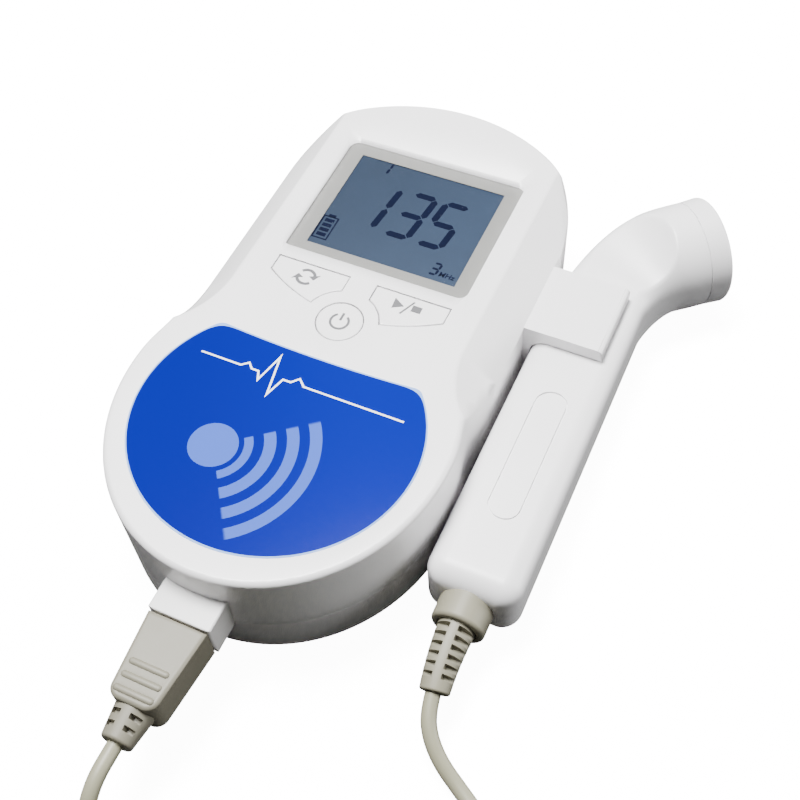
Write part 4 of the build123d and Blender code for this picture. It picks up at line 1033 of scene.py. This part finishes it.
# an uncut spine, given by its half width, runs along the top and the bottom; reach and floor are
# the shares of the radius that a groove goes out to and of the height that it leaves
bootSize = {
    "x": 47.2, "level": 10.25, "inner": -44.0, "collarEnd": -50.7, "collarRadius": 5.65, "rounding": 0.9,
    "lip": 0.7, "rootRadius": 3.9, "tipRadius": 3.05, "length": 13.2, "droop": 14.0, "turn": 8.0,
    "tipRounding": 0.45, "rows": 6, "firstRow": 0.55, "rowPitch": 1.86, "slotWide": 1.0, "spine": 1.15,
    "reach": 1.0, "floor": 0.5, "collarFoot": 0.35, "throat": 0.1, "roundSteps": 8, "steps": 240,
}


def bootLine(size):
    # the collar, a small step down at its end, then the flexed and slotted tail
    x, level, end = size["x"], size["level"], size["collarEnd"]
    straight = (0, -1, 0)
    line = [((x, size["inner"], level), straight, size["collarRadius"], False)]
    r = size["rounding"]
    for k in range(size["roundSteps"] + 1):
        a = math.radians(90 * k / size["roundSteps"])
        line.append(((x, end + r - r * math.sin(a), level), straight,
                     size["collarRadius"] - r + r * math.cos(a), False))
    line.append(((x, end, level), straight, size["rootRadius"] + size["collarFoot"], False))
    line.append(((x, end + size["lip"], level), straight, size["rootRadius"] + size["throat"], False))
    steps = size["steps"]
    place = Vector((x, end, level))
    for k in range(steps + 1):
        along = size["length"] * k / steps
        share = k / steps
        droop, turn = math.radians(size["droop"] * share), math.radians(size["turn"] * share)
        heading = Vector((math.sin(turn) * math.cos(droop), -math.cos(turn) * math.cos(droop),
                          -math.sin(droop)))
        line.append((tuple(place), tuple(heading), tailRadius(size, along), inSlot(size, along)))
        place = place + heading * size["length"] / steps
    return line


finish(slottedPiece("bootSkin", bootLine(bootSize), bootSize), "probe", ["probe_boot"],
       "rubber")

reliefSize = {
    "x": 0.0, "level": 15.8, "start": -91.4, "length": 6.9, "rootRadius": 4.1, "tipRadius": 3.2,
    "tipRounding": 0.6, "rows": 2, "firstRow": 1.55, "rowPitch": 2.3, "slotWide": 1.0, "spine": 1.3,
    "reach": 0.8, "floor": 0.45, "steps": 160,
}


def reliefLine(size):
    # straight, from the plug's end on
    line = []
    for k in range(size["steps"] + 1):
        along = size["length"] * k / size["steps"]
        line.append(((size["x"], size["start"] - along, size["level"]), (0, -1, 0),
                     tailRadius(size, along), inSlot(size, along)))
    return line


finish(slottedPiece("reliefSkin", reliefLine(reliefSize), reliefSize), "plug",
       ["plug_strain_relief"], "plugRubber")
fromNode("plug_housing", "plug", "plugRubber")

ribSize = {"count": 3, "pitch": 2.75, "first": -84.5, "level": 20.62, "reach": 3.6, "halfWidth": 0.72,
           "height": 0.52}


def ribForm(size):
    # one rib: a bar with round ends and a rounded top
    reach, half = size["reach"], size["halfWidth"]
    stops = [-reach - half * math.cos(math.radians(a)) for a in range(8, 91, 14)]
    stops += [-x for x in stops[::-1]]
    rings = []
    for x in stops:
        past = max(abs(x) - reach, 0.0)
        r = math.sqrt(max(half * half - past * past, 0.0))
        high = r * size["height"] / half
        rings.append([(x, r * math.cos(math.radians(a)), high * math.sin(math.radians(a)))
                      for a in range(0, 360, 18)])
    return loftRings("ribForm", rings)


def repeated(name, form, count, step, start, material):
    # copies of a form in a row
    pattern = link(name + "Form", form)
    nodes = NodeTree(name, {"Count": ("NodeSocketInt", count), "Step": ("NodeSocketVector", step),
                            "Start": ("NodeSocketVector", start)})
    row = nodes.add("GeometryNodeMeshLine", None,
                    {"Count": nodes.given("Count"), "Start Location": nodes.given("Start"),
                     "Offset": nodes.given("Step")})
    shape = nodes.add("GeometryNodeObjectInfo", None, {"Object": pattern})
    copies = nodes.add("GeometryNodeInstanceOnPoints", None,
                       {"Points": row.outputs[0], "Instance": shape.outputs["Geometry"]})
    nodes.close(copies.outputs[0], material)
    made = nodes.run(name, link(name + "Carrier", bpy.data.meshes.new(name + "Carrier")))
    bpy.data.objects.remove(pattern)
    return made


ribs = repeated("plugRibs", ribForm(ribSize), ribSize["count"], (0, -ribSize["pitch"] * mm, 0),
                (0, ribSize["first"] * mm, ribSize["level"] * mm), finishes["plugRubber"])
ribs.data.shade_smooth()
finish(ribs, "plug")

# coil tie, small hardware and what lies inside
print("small and inner pieces")
for node, body, slotName, look in [
        ("lead_tie", "console", "dark_plastic", "tie"), ("case_screws", "console", "steel", "steel"),
        ("headphone_jack", "console", "dark_plastic", "dark"),
        ("loudspeaker", "console", "dark_plastic", "cone"),
        ("battery_cells", "console", "cell_jacket", "cell"),
        ("plug_contacts", "plug", "gold_contact", "gold"),
        ("lead_socket_pins", "console", "gold_contact", "gold")]:
    fromNode(node, body, look)
# these only get a finish
inner = {"display_backlight": "pale", "key_switches": "dark", "main_board": "board",
         "board_components": "dark", "board_screws": "steel", "battery_springs": "steel",
         "battery_contact_plates": "steel", "volume_potentiometer": "dark", "socket_ribbon": "pale",
         "transducer_crystals": "crystal", "transducer_damper": "damper", "probe_board": "board",
         "probe_wires": "dark"}
for node, look in inner.items():
    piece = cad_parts[node]
    piece.data.materials.clear()
    piece.data.materials.append(finishes[look])
